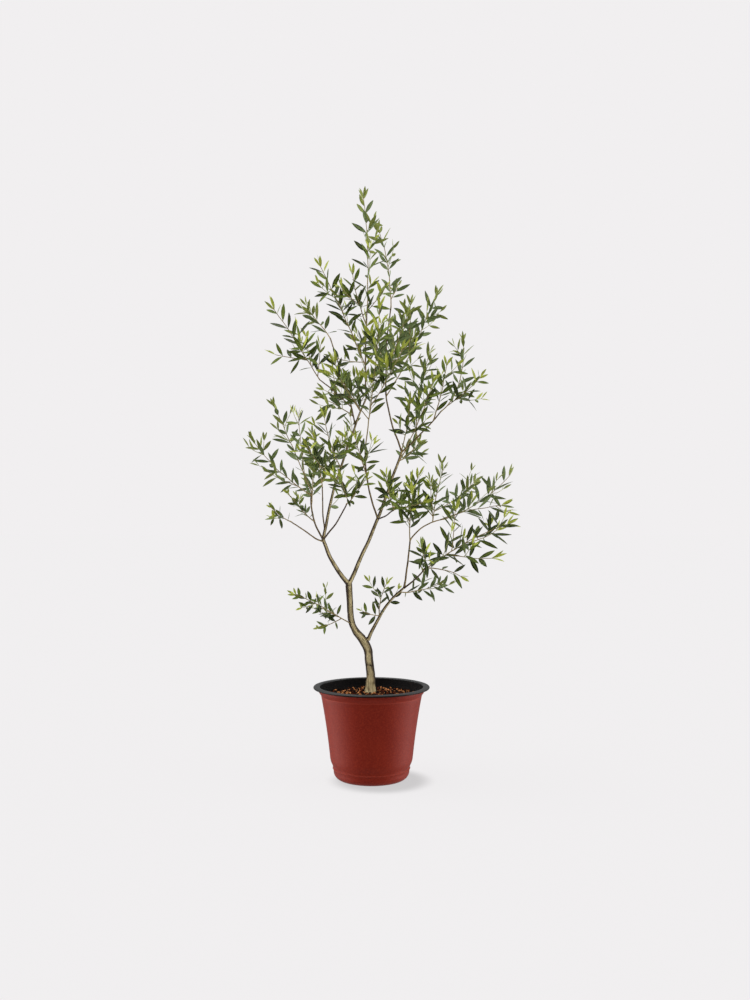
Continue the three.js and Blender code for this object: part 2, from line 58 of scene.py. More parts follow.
# Pot: a red outer wall moulded round a black lining, which rolls out over it as the rim
FOOT = {"radius": 70, "fillet": 18.5}
WAIST = {"radius": 96.2, "height": 46}
WALL = {"slope": 0.1018, "flare": 0.0003, "top": 182}
RING_HEIGHT = 192
COLLAR = {"radius": 123.6, "height": 203, "top": 209.6, "draft": 0.4}
RIM = {"height": 214.8, "edge_height": 214.2, "radius": 136, "mouth": 120.5, "mouth_roll": 3, "roll": 1.9,
       "thickness": 1.7}
POT_STEPS = 144

# Thickness of the pot's skins, and the play between the wall and its lining
SKIN = 0.9
PLAY = 0.3
DRAIN_HOLES = {"count": 6, "radius": 5, "circle": 45}

# Stretches of the wall's outline as radius and height: the step moulded over the foot, the ring, measured
# from the wall at the ring's height, and the shoulder from there to the collar
FOOT_STEP = [
    (88.9, 22.3), (90, 24), (90.7, 25.2), (90.5, 25.7), (89.2, 27),
    (89.3, 28.4), (90.3, 31), (91.9, 34.8), (93.6, 38.4), (95, 42),
]
RING_STEP = [(0.1, 0), (0, 0.8), (0.6, 2.6)]
SHOULDER = [(119.6, 197.2), (121.8, 200)]

# Heights of the moulded edges, under the collar and at the foot, that carry a painted highlight line
PAINTED_HIGHLIGHT_HEIGHTS = (193.2, 26)

# Growing medium: fired clay pellets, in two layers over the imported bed. The kinds are the shares of brown,
# orange and dark ones.
PELLET = {"length": (5, 9.5), "width": (3.2, 5), "thickness": (2.8, 4.2), "lumps": (-0.22, 0.14),
          "unevenness": (-0.6, 0.8), "tilt": 0.7, "kinds": (0.24, 0.24, 0.52)}
PELLET_LAYERS = [
    {"raised": 0.2, "apart": 4.6, "tries": 6500},
    {"raised": 2.7, "apart": 6.2, "tries": 3800},
]
PELLET_SEED = 11
BED = {"edge_height": 190, "level_height": 194.7, "level_radius": 55, "reach": 111.5, "trunk_gap": 2.5}

# Trunk stations, from under the flat cut up to the fork: height, across, back and radius
TRUNK = [
    (180, -2.5, 25, 18),
    (195, -2.5, 25, 14.4),
    (204, -2.4, 25, 12.6),
    (213, -2.2, 25, 11.3),
    (224, -2, 24.7, 10.6),
    (240, -2, 24.5, 10.1),
    (272, -6, 22, 9.9),
    (296, -8.5, 20, 10.3),
    (318, -19, 18, 10.4),
    (344, -39.5, 17, 8.1),
    (368, -48, 17, 7.7),
    (415, -51.5, 16, 7.3),
    (455, -54, 15, 8),
]
TRUNK_CUT = 195

# Rings pressed into the trunk, where a year's growth began: height, depth and half width
TRUNK_RINGS = [(239, 0.5, 1.3), (262, 0.3, 1.2), (352, 0.3, 1.6), (438, 0.3, 1.5)]

# Boughs: name, limb that it grows on, share of that limb's length, reach and bow as across, back and up, and
# the radii of foot and tip. The bow is how far the middle bends off the straight line from foot to tip.
BOUGHS = [
    ("left_bough", "trunk", 0.985, (-61, 5, 106), (-4, 0, -5), (5.4, 4.3)),
    ("right_bough", "trunk", 0.985, (126, 25, 316), (5, 0, -2), (5, 2.9)),
    ("low_bough", "trunk", 0.48, (93, -48, 131), (-6, 0, 8), (4.2, 2.6)),
    ("low_riser", "low_bough", 1, (15, 30, 110), (0, 0, 0), (2.2, 1.8)),
    ("low_reach", "low_bough", 1, (45, -60, 48), (2, 0, -2), (2, 1.7)),
    ("low_arm", "low_riser", 1, (85, 60, 49), (-6, 0, 9), (1.7, 1.4)),
    ("left_leader", "left_bough", 1, (103, -30, 333), (-10, 0, 2), (3.7, 2.2)),
    ("left_riser", "left_bough", 1, (-32, 80, 114), (-12, 0, 0), (2.2, 1.8)),
    ("left_outrigger", "left_bough", 0.95, (-72, -70, 48), (0, 0, -3), (1.8, 1.4)),
    ("left_inner", "left_bough", 1, (59, -110, 83), (4, 0, -3), (2, 1.5)),
    ("left_prop", "left_leader", 0.06, (-9, 62, 105), (-3, 0, 2), (1.7, 1.4)),
    ("right_inner", "right_bough", 0.5, (-28, -108, 164), (-9, 0, 2), (2.2, 1.6)),
    ("right_front", "right_bough", 0.5, (37, -98, 19), (0, 0, -4), (1.8, 1.5)),
    ("right_riser", "right_bough", 1, (-37, 70, 145), (-6, 0, 2), (2.2, 1.8)),
    ("right_crown", "right_riser", 1, (12, -20, 212), (-5, 0, 0), (1.8, 1.5)),
    ("right_reach", "right_bough", 1, (91, -30, 92), (3, 0, -2), (2, 1.5)),
    ("high_left", "left_leader", 0.8, (-62, 74, 219), (3, 0, 0), (1.8, 1.4)),
    ("far_left", "high_left", 0.2, (-69, -81, 54), (0, 0, 3), (1.5, 1.3)),
    ("crown_leader", "left_leader", 1, (2, 10, 215), (-4, 0, 0), (2, 1.5)),
]

# Masses of foliage: name, limb, share of its length, the stem's reach and bow, and its forks as share of
# the stem and reach. A reach is to the tip of the last leaf.
MASSES = [
    ("top_leader", "crown_leader", 1, (-10, 15, 275), (5, 0, 0), []),
    ("top_second", "right_crown", 1, (-32, 0, 200), (8, 0, 0), [(0.1, (19, 60, 50))]),
    ("top_left_inner", "crown_leader", 0.8, (-31, -88, 105), (-4, 0, 0),
     [(0.4, (-42, -83, 24)), (0.2, (52, -60, 50))]),
    ("top_left", "crown_leader", 0.35, (-103, -104, 215), (6, 0, -8),
     [(0.5, (-16, 8, 63)), (0.04, (-80, 36, 20))]),
    ("high_left_tip", "high_left", 1, (-58, 70, 83), (4, 0, -4), []),
    ("far_left_tip", "far_left", 1, (-100, -90, 149), (5, 0, -5),
     [(0.2, (-15, 28, 77)), (0.05, (10, -56, 64)), (0.3, (-75, 10, 12))]),
    ("left_high", "high_left", 0.1, (-84, 57, 53), (0, 0, 4), [(0.4, (-17, -26, 85))]),
    ("left_mid", "left_leader", 0.5, (-32, -145, 108), (-4, 0, -6), []),
    ("left_low", "left_leader", 0.42, (-60, -176, 65), (-6, 0, -4), []),
    ("left_tip_upper", "left_riser", 1, (-91, -40, 211), (5, 0, -8), [(0.2, (-8, -102, 137))]),
    ("left_tip_outer", "left_riser", 0.94, (-158, 70, 147), (-6, 0, -10), [(0.2, (-70, -24, 33))]),
    ("left_prop_tip", "left_prop", 1, (-32, 110, 143), (4, 0, -6), [(0.1, (49, 74, 106))]),
    ("left_small", "left_riser", 0.4, (-58, -62, 66), (0, 0, -5), []),
    ("left_back", "left_riser", 0.7, (-5, 184, 133), (0, 0, -10), []),
    ("outrigger_tip", "left_outrigger", 1, (-42, -60, 34), (0, 0, -4), []),
    ("left_inner_tip", "left_inner", 1, (44, -70, 54), (0, 0, -4), [(0.1, (-15, -93, 53))]),
    ("mid_shoot", "right_inner", 0.6, (-24, -123, 80), (0, 0, -6), []),
    ("low_left", "trunk", 0.65, (-132, -108, 82), (0, 0, 4),
     [(0.3, (-43, 74, 15)), (0.2, (-52, -40, -18))]),
    ("low_right_small", "low_bough", 0.4, (24, -62, 90), (-6, 0, 3), [(0.04, (-42, -50, 16))]),
    ("low_right_under", "low_bough", 0.9, (101, 85, 14), (0, 0, -6), []),
    ("low_reach_tip", "low_reach", 1, (84, -20, -19), (0, 0, 6), [(0.1, (-22, -97, 53))]),
    ("low_sweep", "low_reach", 0.9, (199, 14, 107), (0, 0, 10),
     [(0.3, (100, -60, -8)), (0.35, (12, 40, 100)), (0.5, (88, 78, 32))]),
    ("low_arm_tip", "low_arm", 1, (168, 50, 111), (8, 0, -10), []),
    ("low_arm_side", "low_arm", 0.9, (148, -54, 35), (0, 0, 6), []),
    ("low_arm_up", "low_arm", 0.7, (29, 38, 132), (-4, 0, 0),
     [(0.2, (114, 150, 78)), (0.04, (-10, -84, 84)), (0.1, (-52, -20, 70))]),
    ("low_riser_tip", "low_riser", 0.97, (18, -50, 153), (-8, 0, 0), [(0.3, (-38, 75, 67))]),
    ("right_front_tip", "right_front", 1, (-19, -100, 75), (0, 0, -4), [(0.1, (70, -80, 11))]),
    ("right_low_shoot", "right_bough", 0.93, (54, 102, 54), (0, 0, -6), []),
    ("right_thin", "right_bough", 0.97, (19, -101, 117), (3, 0, 0), []),
    ("right_mid", "right_bough", 0.9, (78, -148, 182), (4, 0, -6), []),
    ("right_up", "right_reach", 0.35, (39, 120, 230), (-7, 0, 0), []),
    ("right_tip", "right_reach", 1, (60, 60, 183), (16, 0, -20), [(0.12, (70, -98, 56))]),
    ("right_tip_in", "right_reach", 0.8, (28, -66, 127), (3, 0, 0), []),
    ("crown_right", "right_riser", 0.97, (132, 80, 274), (4, 0, -6), [(0.4, (0, -82, 117))]),
    ("crown_back", "right_crown", 0.3, (14, 176, 76), (0, 0, -10),
     [(0.3, (-43, 73, 96)), (0.15, (66, 40, 84)), (0.04, (50, -62, 122))]),
    ("crown_front", "right_inner", 1, (33, -110, 298), (3, 0, 0),
     [(0.3, (69, -117, 111)), (0.2, (-70, -60, 95))]),
    ("crown_core", "left_leader", 0.9, (-62, -50, 110), (0, 0, -4),
     [(0.1, (38, -70, 60)), (0.15, (-20, 104, 80)), (0.3, (-70, 45, 25))]),
]

# The trunk and the boughs that are melted into one skin with it
MAIN_LIMBS = ["trunk", "left_bough", "right_bough", "low_bough", "left_leader"]

# How far a bough's foot is moved inside the limb that carries it, to come out where the photograph shows it
FOOT_MOVED = {"low_bough": (9, 0, 5)}

# Share of its shoots that carries no leaf, where a mass differs from the rest
BARE = {"left_tip_upper": 0.25, "left_prop_tip": 0.3, "low_left": 0.3, "right_thin": 0.5, "right_mid": 0.4,
        "crown_front": 0.25}
BARE_SHARE = 0.18

# Size of the leaves of a mass, and how close its finer twigs stand, where they differ from the rest
LEAF_SIZE = {
    "low_left": 0.68, "low_right_small": 0.72, "low_right_under": 0.85, "outrigger_tip": 0.66,
    "left_small": 0.68, "left_inner_tip": 0.85, "top_second": 0.85, "top_left": 0.9, "right_tip": 0.9,
    "left_prop_tip": 0.9, "low_sweep": 1.12, "low_arm_tip": 1.15, "low_arm_side": 1.12,
}
DENSER = {
    "top_leader": 0.5, "top_second": 0.3, "top_left_inner": 0.6, "top_left": 0.3, "crown_right": 0.9,
    "left_mid": 0.6, "mid_shoot": 1.1, "crown_front": 1.4, "crown_back": 0.9, "far_left_tip": 0.5,
    "low_right_small": 0.3, "low_arm_up": 0.6, "low_riser_tip": 0.9, "low_sweep": 0.4,
    "low_arm_side": 0.5, "low_arm_tip": 0.5, "right_tip": 0.5, "right_tip_in": 0.6, "right_up": 0.6,
    "right_mid": 0.8, "low_reach_tip": 0.8, "crown_core": 0.7, "left_tip_upper": 0.3,
    "left_prop_tip": 0.3, "left_tip_outer": 0.5, "left_high": 0.8, "left_back": 0.5,
    "high_left_tip": 0.7, "left_low": 0.7,
}

# How much farther apart the leaves of a mass stand than the rest's
SPARSE = {
    "low_left": 1.2, "low_right_small": 1.15, "low_arm_side": 1.25, "left_tip_upper": 1.15,
    "outrigger_tip": 1.2, "left_small": 1.3, "left_mid": 1.15, "low_sweep": 1.15, "low_arm_tip": 1.15,
}

# How far short of its reach a stem stops, and the one whose last leaves stand straight up
LAST_LEAF = 3
STOPS_SHORT = {"top_leader": 8}

# How much of its season's growth a mass has made, where it differs: the rest of its leaves are old and dark
GROWTH = {
    "low_reach_tip": 0.4, "low_sweep": 0.5, "low_arm_tip": 0.5, "low_arm_side": 0.5,
    "low_right_under": 0.3, "low_right_small": 0.5, "low_arm_up": 0.7, "low_riser_tip": 0.7,
    "right_low_shoot": 0.5, "low_left": 0.7, "outrigger_tip": 0.7, "left_small": 0.6, "left_low": 0.9,
    "left_mid": 0.9,
}

# Limbs that carry leafy spurs of their own, under the mass that these go with
SPURS = {"crown_core": ["crown_leader"], "low_reach_tip": ["low_reach"], "left_mid": ["left_leader"],
         "low_right_small": ["low_bough"]}

# How far each kind of limb sways off its curve as it grows, and over what length
KINKS = {"bough": (2.2, 46), "stem": (2, 34), "fork": (1.5, 30), "twig": (1.2, 22)}

# Seed of the noise that kinks the limbs, which would otherwise come from the clock
KINK_SEED = 3

# The tubes that limbs are drawn as: sides, spacing of their rings, and share by which the foot flares
TUBES = {
    "trunk": (40, 3, 0),
    "main": (24, 3, 0.28),
    "bough": (12, 2.2, 0.45),
    "stem": (7, 4, 0.35),
    "twig": (7, 5, 0.35),
}

# The melted skin of the trunk: size of its grid, and how often it is smoothed and by how much
MELT = {"grid": 0.85, "rounds": 6, "share": 0.6}

# Relief of bark: its furrows' width and the depth that it spans, and its shares of ridges and knobs
TRUNK_BARK = {"furrow": 3.4, "depth": 1.9, "seed": 3}
BOUGH_BARK = {"furrow": 1.5, "depth": 0.7}
RELIEF = {"ridges": 0.34, "fine": 0.16, "knobs": 0.3}

# Way that the bark's painted highlight faces, in degrees from the front to the right, at two heights
PAINTED_HIGHLIGHT_WAY = {"heights": (230, 480), "turns": (-4, 20)}

# How much painted shade darkens the bark's sides against its front, at three heights: the foot is pale all
# round
PAINTED_SHADE_SIDES = {"heights": (205, 236, 262), "shares": (0.1, 0.5, 1.15)}

# How twigs grow, one generation after the other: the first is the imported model's, and the finer ones follow
# its rule. First and last are shares of the shoot, and a length shrinks toward the tip and varies.
TWIGS = [
    {"length": 74, "spacing": 62, "first": 0.3, "last": 0.9, "lift": 0.25, "shrinks": 0.6, "varies": 0.2},
    {"length": 70, "spacing": 50, "first": 0.2, "last": 0.85, "lift": 0.35, "shrinks": 0.5, "varies": 0.3},
]
GOLDEN_ANGLE = math.pi * (3 - math.sqrt(5))

# How far from its stem and forks a mass reaches
MASS_RADIUS = 82

# Radii of a shoot's foot and tip, the share of a twig that is bare, and how far a bend sags for its length
STEM_RADII = (1.45, 0.7)
FORK_RADII = (1.15, 0.65)
TWIG_RADII = (0.85, 0.5)
TWIG_BARE = 0.15
FORK_SAG = 0.04
TWIG_SAG = 0.05

# Room that a twig and a leaf keep from the middle of any limb
TWIG_GAP = 4
LEAF_GAP = 3.5

# Leaves: opposite pairs, each pair square to the last. Slopes are in radians off the shoot, at its foot and
# at its tip, and closed is what the last leaves keep of theirs.
LEAF = {"length": 42, "width": 9.6, "thickness": 0.5, "spacing": 21, "fold": 0.2, "lift": 0.12, "sag": 0.02}
LEAF_SLOPES = {"foot": 1.1, "tip": 0.85, "closed": 0.55}
LEAF_VARIES = {"place": 0.18, "turn": 0.25, "slope": 0.2, "width": 0.14, "length": 0.16, "facing": 1.4,
               "roll": 0.45, "arch": 0.1, "curve": 0.08, "twist": 0.5}
MISSING_LEAVES = 0.06

# Within these lengths of a shoot's tip its leaves are closed up, young, smaller and fresh
CLOSED_LENGTH = 9
YOUNG_LENGTH = 15
FULL_SIZE_LENGTH = 30
FRESH_LENGTH = 44

# A longer shoot than this ends in a tuft, with one pair of leaves more, this far from its tip
TUFT = {"longer_than": 95, "from_tip": 6}

# Leaves in front of this depth turn their upper faces to the front, and the others to the back
CROWN_MIDDLE = 10

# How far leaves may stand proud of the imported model's box
PROUD = 8

# The blade's half width as a share of its widest, from the foot of the stalk to the tip
BLADE = [(0, 0.12), (0.06, 0.12), (0.17, 0.52), (0.35, 0.9), (0.54, 1), (0.76, 0.74), (0.92, 0.31)]

# The photograph is 750 by 1000 pixels, and the camera's sensor covers its longer side
CAMERA = {"across": 8.2, "back": -2350, "height": 603, "focal_px": 1000, "horizon_px": 520, "sensor": 36}
PHOTO_HEIGHT = 1000

# Stage: the soft painted shadow on the floor round the pot's foot, and the studio's light by direction:
# the span of a part of the direction, and the light's strength at either end of it
BACKDROP = "#f1eff0"
FLOOR_GLOW = 0.935
PAINTED_SHADOW = {"across": 22, "back": -20, "inner": 75, "outer": 137, "depth": 0.27}
LIGHT_BOXES = [
    {"part": "sideways", "span": (0.66, 1), "strength": (0.34, 3.8)},
    {"part": "up", "span": (0.35, 0.95), "strength": (0, 0.8)},
    {"part": "up", "span": (-0.1, -0.9), "strength": (0, 0.3)},
]
KEY_LIGHT = {"way": (-0.3, 0.1, 1), "strength": 1.3, "spread": 34}


# Materials

def linear(hex_colour):
    """The linear colour of an sRGB hex value."""
    channels = [int(hex_colour[i:i + 2], 16) / 255 for i in (1, 3, 5)]
    return (*(c / 12.92 if c <= 0.04045 else ((c + 0.055) / 1.055) ** 2.4 for c in channels), 1)


def add(tree, kind, inputs, **settings):
    """Adds a node. Each input is a value, or the socket that it is linked from."""
    node = tree.nodes.new(kind)
    for name, value in settings.items():
        setattr(node, name, value)
    for name, value in inputs.items():
        if isinstance(value, bpy.types.NodeSocket):
            tree.links.new(value, node.inputs[name])
        else:
            node.inputs[name].default_value = value
    return node


def surface(name, colour, **values):
    """A material with one Principled shader, its node tree and that shader."""
    material = bpy.data.materials.new(name)
    material.use_nodes = True
    tree = material.node_tree
    shader = tree.nodes["Principled BSDF"]
    shader.inputs["Base Color"].default_value = linear(colour)
    material.diffuse_color = linear(colour)
    for socket, value in values.items():
        shader.inputs[socket.replace("_", " ")].default_value = value
    return material, tree, shader


def tinted(tree, value, under, over, span, most=1):
    """One colour laid over another: not at all at the start of a value's span, and the most at its end."""
    share = add(tree, "ShaderNodeMapRange", {"Value": value, "From Min": span[0], "From Max": span[1],
                                             "To Max": most})
    mixed = add(tree, "ShaderNodeMix", {0: share.outputs["Result"], 6: under, 7: over}, data_type="RGBA")
    return mixed.outputs[2]


def mottled(tree, place, under, over, size, detail, span, most=1):
    """One colour over another in patches of a size in millimetres."""
    patches = add(tree, "ShaderNodeTexNoise", {"Vector": place, "Scale": 1 / (size * MM), "Detail": detail})
    return tinted(tree, patches.outputs["Fac"], under, over, span, most)


def roughened(tree, shader, place, size, detail, strength, depth):
    """Gives the shader a fine relief, of a size and depth in millimetres. Returns its pattern."""
    grain = add(tree, "ShaderNodeTexNoise", {"Vector": place, "Scale": 1 / (size * MM), "Detail": detail})
    bump = add(tree, "ShaderNodeBump", {"Height": grain.outputs["Fac"], "Strength": strength,
                                        "Distance": depth * MM})
    tree.links.new(bump.outputs["Normal"], shader.inputs["Normal"])
    return grain.outputs["Fac"]


def glossed(tree, shader, pattern, smoothest, roughest):
    """Lets the shader's roughness follow a pattern."""
    rough = add(tree, "ShaderNodeMapRange", {"Value": pattern, "To Min": smoothest, "To Max": roughest})
    tree.links.new(rough.outputs["Result"], shader.inputs["Roughness"])


def red_polypropylene():
    """Red polypropylene, injection moulded with a fine eroded texture: satin, with faint flow clouds."""
    material, tree, shader = surface("red_moulded_polypropylene", "#7a2012", Roughness=0.42, IOR=1.49,
                                     Specular_IOR_Level=0.09)
    place = add(tree, "ShaderNodeTexCoord", {}).outputs["Object"]
    colour = mottled(tree, place, linear("#6f1c11"), linear("#772113"), size=60, detail=2, span=(0.3, 0.7))
    # Painted highlight specks, where the texture catches the light, drawn 3.4 mm across so that they show
    colour = mottled(tree, place, colour, linear("#852a19"), size=3.4, detail=3, span=(0.42, 0.66), most=0.7)
    # A painted highlight runs along each moulded edge, paler over 2 mm to either side
    height = add(tree, "ShaderNodeSeparateXYZ", {"Vector": place}).outputs["Z"]
    for edge in PAINTED_HIGHLIGHT_HEIGHTS:
        away = add(tree, "ShaderNodeMath", {0: height, 1: edge * MM}, operation="SUBTRACT")
        away = add(tree, "ShaderNodeMath", {0: away.outputs[0]}, operation="ABSOLUTE")
        colour = tinted(tree, away.outputs[0], colour, linear("#93392a"), span=(2 * MM, 0.6 * MM), most=0.45)
    tree.links.new(colour, shader.inputs["Base Color"])
    # The texture's pits are 0.5 mm across, drawn 4 times as coarse so that they show
    pits = roughened(tree, shader, place, size=2, detail=4, strength=0.5, depth=0.45)
    glossed(tree, shader, pits, smoothest=0.34, roughest=0.48)
    return material


def black_polypropylene():
    """Black polypropylene, injection moulded smooth: a soft grey sheen, with a thin film of dust."""
    material, tree, shader = surface("black_moulded_polypropylene", "#080708", Roughness=0.34, IOR=1.49,
                                     Specular_IOR_Level=0.4)
    place = add(tree, "ShaderNodeTexCoord", {}).outputs["Object"]
    dust = add(tree, "ShaderNodeTexNoise", {"Vector": place, "Scale": 1 / (14 * MM), "Detail": 5})
    dust = dust.outputs["Fac"]
    colour = tinted(tree, dust, linear("#050505"), linear("#0e0d0e"), span=(0.5, 0.8), most=0.5)
    tree.links.new(colour, shader.inputs["Base Color"])
    glossed(tree, shader, dust, smoothest=0.26, roughest=0.42)
    roughened(tree, shader, place, size=0.9, detail=2, strength=0.2, depth=0.15)
    return material


def splashed_polypropylene():
    """The same black polypropylene, dulled by watering: matt, with brown splashes of dried clay."""
    material, tree, shader = surface("splashed_black_polypropylene", "#070505", Roughness=0.85, IOR=1.49,
                                     Specular_IOR_Level=0.12)
    place = add(tree, "ShaderNodeTexCoord", {}).outputs["Object"]
    colour = mottled(tree, place, linear("#090707"), linear("#1a120f"), size=9, detail=5, span=(0.5, 0.75))
    tree.links.new(colour, shader.inputs["Base Color"])
    return material


def fired_clay(name, dark, light):
    """Fired clay, broken into pellets: matt and porous, with paler patches, partly a dusty crust and partly
    painted highlight.
    """
    material, tree, shader = surface(name, dark, Roughness=0.75, IOR=1.5, Specular_IOR_Level=0.06)
    place = add(tree, "ShaderNodeTexCoord", {}).outputs["Object"]
    colour = mottled(tree, place, linear(dark), linear(light), size=3, detail=4, span=(0.35, 0.7))
    tree.links.new(colour, shader.inputs["Base Color"])
    roughened(tree, shader, place, size=0.8, detail=3, strength=0.6, depth=0.5)
    return material


def olive_bark(name, dark, middle, light, streak):
    """Young olive bark: smooth and grey, streaked along the grain, with painted shade on its sides and in its
    fissures.
    """
    material, tree, shader = surface(name, middle, Roughness=0.82, IOR=1.4)
    grain = add(tree, "ShaderNodeAttribute", {}, attribute_name="grain").outputs["Vector"]
    relief = add(tree, "ShaderNodeAttribute", {}, attribute_name="relief").outputs["Fac"]
    face = add(tree, "ShaderNodeAttribute", {}, attribute_name="face").outputs["Fac"]
    # The streaks and flakes are 7 times as long as wide
    along = add(tree, "ShaderNodeMapping", {"Vector": grain, "Scale": (1, 1, 0.14)}).outputs["Vector"]
    streaks = add(tree, "ShaderNodeTexNoise", {"Vector": along, "Scale": 1 / (streak * MM), "Detail": 5,
                                               "Roughness": 0.6})
    colour = tinted(tree, streaks.outputs["Fac"], linear(middle), linear(light), span=(0.4, 0.6))
    # Painted highlight on the face toward the light, and painted shade on the wood's sides and in its
    # fissures
    colour = tinted(tree, face, colour, linear(light), span=(0.93, 1), most=0.6)
    colour = tinted(tree, face, colour, linear(dark), span=(0.96, 0.73))
    colour = tinted(tree, relief, colour, linear(dark), span=(0.42, 0.1))
    tree.links.new(colour, shader.inputs["Base Color"])
    roughened(tree, shader, along, size=1.1, detail=4, strength=0.5, depth=0.5)
    return material


def leaf_face(name, dark, light, roughness):
    """One face of a leathery olive leaf: a waxy cuticle over mottled green, with a paler midrib."""
    material, tree, shader = surface(name, dark, Roughness=roughness, IOR=1.38, Specular_IOR_Level=0.2)
    place = add(tree, "ShaderNodeTexCoord", {}).outputs["Object"]
    rib = add(tree, "ShaderNodeAttribute", {}, attribute_name="rib").outputs["Fac"]
    colour = mottled(tree, place, linear(dark), linear(light), size=16, detail=3, span=(0.35, 0.65))
    colour = tinted(tree, rib, colour, linear("#8f9a52"), span=(0.6, 1), most=0.35)
    tree.links.new(colour, shader.inputs["Base Color"])
    roughened(tree, shader, place, size=1.6, detail=2, strength=0.15, depth=0.3)
    return material


# Pieces

def deselect():
    bpy.ops.object.select_all(action="DESELECT")


def piece_of(name, points, faces, materials, kinds=None):
    """A new piece of the object from points in millimetres, with the material of each face by number."""
    mesh = bpy.data.meshes.new(name)
    mesh.from_pydata((np.asarray(points) * MM).tolist(), [], faces)
    for material in materials:
        mesh.materials.append(material)
    if kinds is not None:
        mesh.polygons.foreach_set("material_index", np.asarray(kinds, np.int32))
    piece = bpy.data.objects.new(name, mesh)
    bpy.context.scene.collection.objects.link(piece)
    return piece


def select_only(piece):
    deselect()
    piece.select_set(True)
    bpy.context.view_layer.objects.active = piece


def give_values(piece, name, values, kind="FLOAT"):
    """Keeps a number or a vector for each point of a piece, for its material to read."""
    attribute = piece.data.attributes.new(name, kind, "POINT")
    field = "vector" if kind == "FLOAT_VECTOR" else "value"
    attribute.data.foreach_set(field, np.asarray(values, np.float32).ravel())


def give_bark(piece, grain, relief, face):
    """Keeps what olive_bark reads: the grain, the relief, and how far each point faces the painted highlight.
    """
    give_values(piece, "grain", grain * MM, "FLOAT_VECTOR")
    give_values(piece, "relief", relief)
    give_values(piece, "face", face)


def smooth(piece, angle):
    select_only(piece)
    bpy.ops.object.shade_smooth_by_angle(angle=math.radians(angle))
    deselect()


def hand_over(piece, slot, *nodes):
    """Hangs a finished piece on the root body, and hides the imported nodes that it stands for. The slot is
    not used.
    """
    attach(piece, "root")
    if nodes:
        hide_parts(*nodes)


def apply_modifiers(piece):
    select_only(piece)
    for modifier in list(piece.modifiers):
        bpy.ops.object.modifier_apply(modifier=modifier.name)
    deselect()


# Pot

def arc(centre, radius, start, end, steps):
    """Points of a round stretch of an outline, its angles in degrees from straight out."""
    angles = np.radians(np.linspace(start, end, steps + 1))
    return [(centre[0] + radius * math.cos(a), centre[1] + radius * math.sin(a)) for a in angles]


def wall_radius(height):
    """Radius of the pot's tapered wall, which flares a little toward the top."""
    up = height - WAIST["height"]
    return WAIST["radius"] + WALL["slope"] * up + WALL["flare"] * up * up


def wall_outline(inset, top):
    """The pot's outer outline as radius and height, from its base up to a height, moved in by an inset."""
    foot, fillet = FOOT["radius"], FOOT["fillet"]
    outline = arc((foot, fillet), fillet, start=-90, end=-6, steps=8)
    outline += FOOT_STEP
    heights = np.linspace(WAIST["height"] + 2, WALL["top"], 14)
    outline += [(wall_radius(z), z) for z in heights]
    ring = wall_radius(RING_HEIGHT)
    outline += [(ring + out, RING_HEIGHT + up) for out, up in RING_STEP]
    outline += SHOULDER
    outline += [(COLLAR["radius"], COLLAR["height"]), (COLLAR["radius"] + COLLAR["draft"], COLLAR["top"])]
    moved = [(r - inset, max(z, 0) + (inset if z < fillet else 0)) for r, z in outline]
    return [(r, z) for r, z in moved if z <= top]


def turned(name, outline, material):
    """A round shell: a ring is added, then extruded and scaled from point to point of a closed outline."""
    radius, height = outline[0]
    deselect()
    bpy.ops.mesh.primitive_circle_add(vertices=POT_STEPS, radius=radius * MM, fill_type="NGON",
                                      location=(0, 0, height * MM))
    shell = bpy.context.object
    shell.name = name
    shell.data.name = name
    bpy.ops.object.transform_apply(location=True)
    bpy.ops.object.mode_set(mode="EDIT")
    bpy.ops.mesh.select_all(action="SELECT")
    for next_radius, next_height in outline[1:]:
        bpy.ops.mesh.extrude_edges_move(
            TRANSFORM_OT_translate={"value": (0, 0, (next_height - height) * MM)})
        grow = next_radius / radius
        bpy.ops.transform.resize(value=(grow, grow, 1), center_override=(0, 0, 0))
        radius, height = next_radius, next_height
    bpy.ops.mesh.edge_face_add()
    bpy.ops.mesh.select_all(action="SELECT")
    bpy.ops.mesh.normals_make_consistent(inside=False)
    bpy.ops.object.mode_set(mode="OBJECT")
    shell.data.materials.append(material)
    return shell


def drill(shell):
    """Cuts the ring of drainage holes through a shell's base."""
    deselect()
    for i in range(DRAIN_HOLES["count"]):
        angle = (i + 0.5) * 2 * math.pi / DRAIN_HOLES["count"]
        x = DRAIN_HOLES["circle"] * math.cos(angle) * MM
        y = DRAIN_HOLES["circle"] * math.sin(angle) * MM
        bpy.ops.mesh.primitive_cylinder_add(vertices=24, radius=DRAIN_HOLES["radius"] * MM, depth=20 * MM,
                                            location=(x, y, 0))
        drill_bit = bpy.context.object
        bpy.ops.object.transform_apply(location=True)
        cut = shell.modifiers.new("drain_hole", "BOOLEAN")
        cut.object = drill_bit
        cut.operation = "DIFFERENCE"
        apply_modifiers(shell)
        bpy.data.objects.remove(drill_bit)


def make_pot_wall(material):
    """The red outer wall: one moulded skin from the base to the top of the collar."""
    outer = wall_outline(0, COLLAR["top"])
    inner = wall_outline(SKIN, COLLAR["top"])[::-1]
    wall = turned("red_pot_wall", outer + inner, material)
    drill(wall)
    smooth(wall, 40)
    hand_over(wall, "red_plastic", "pot_wall")


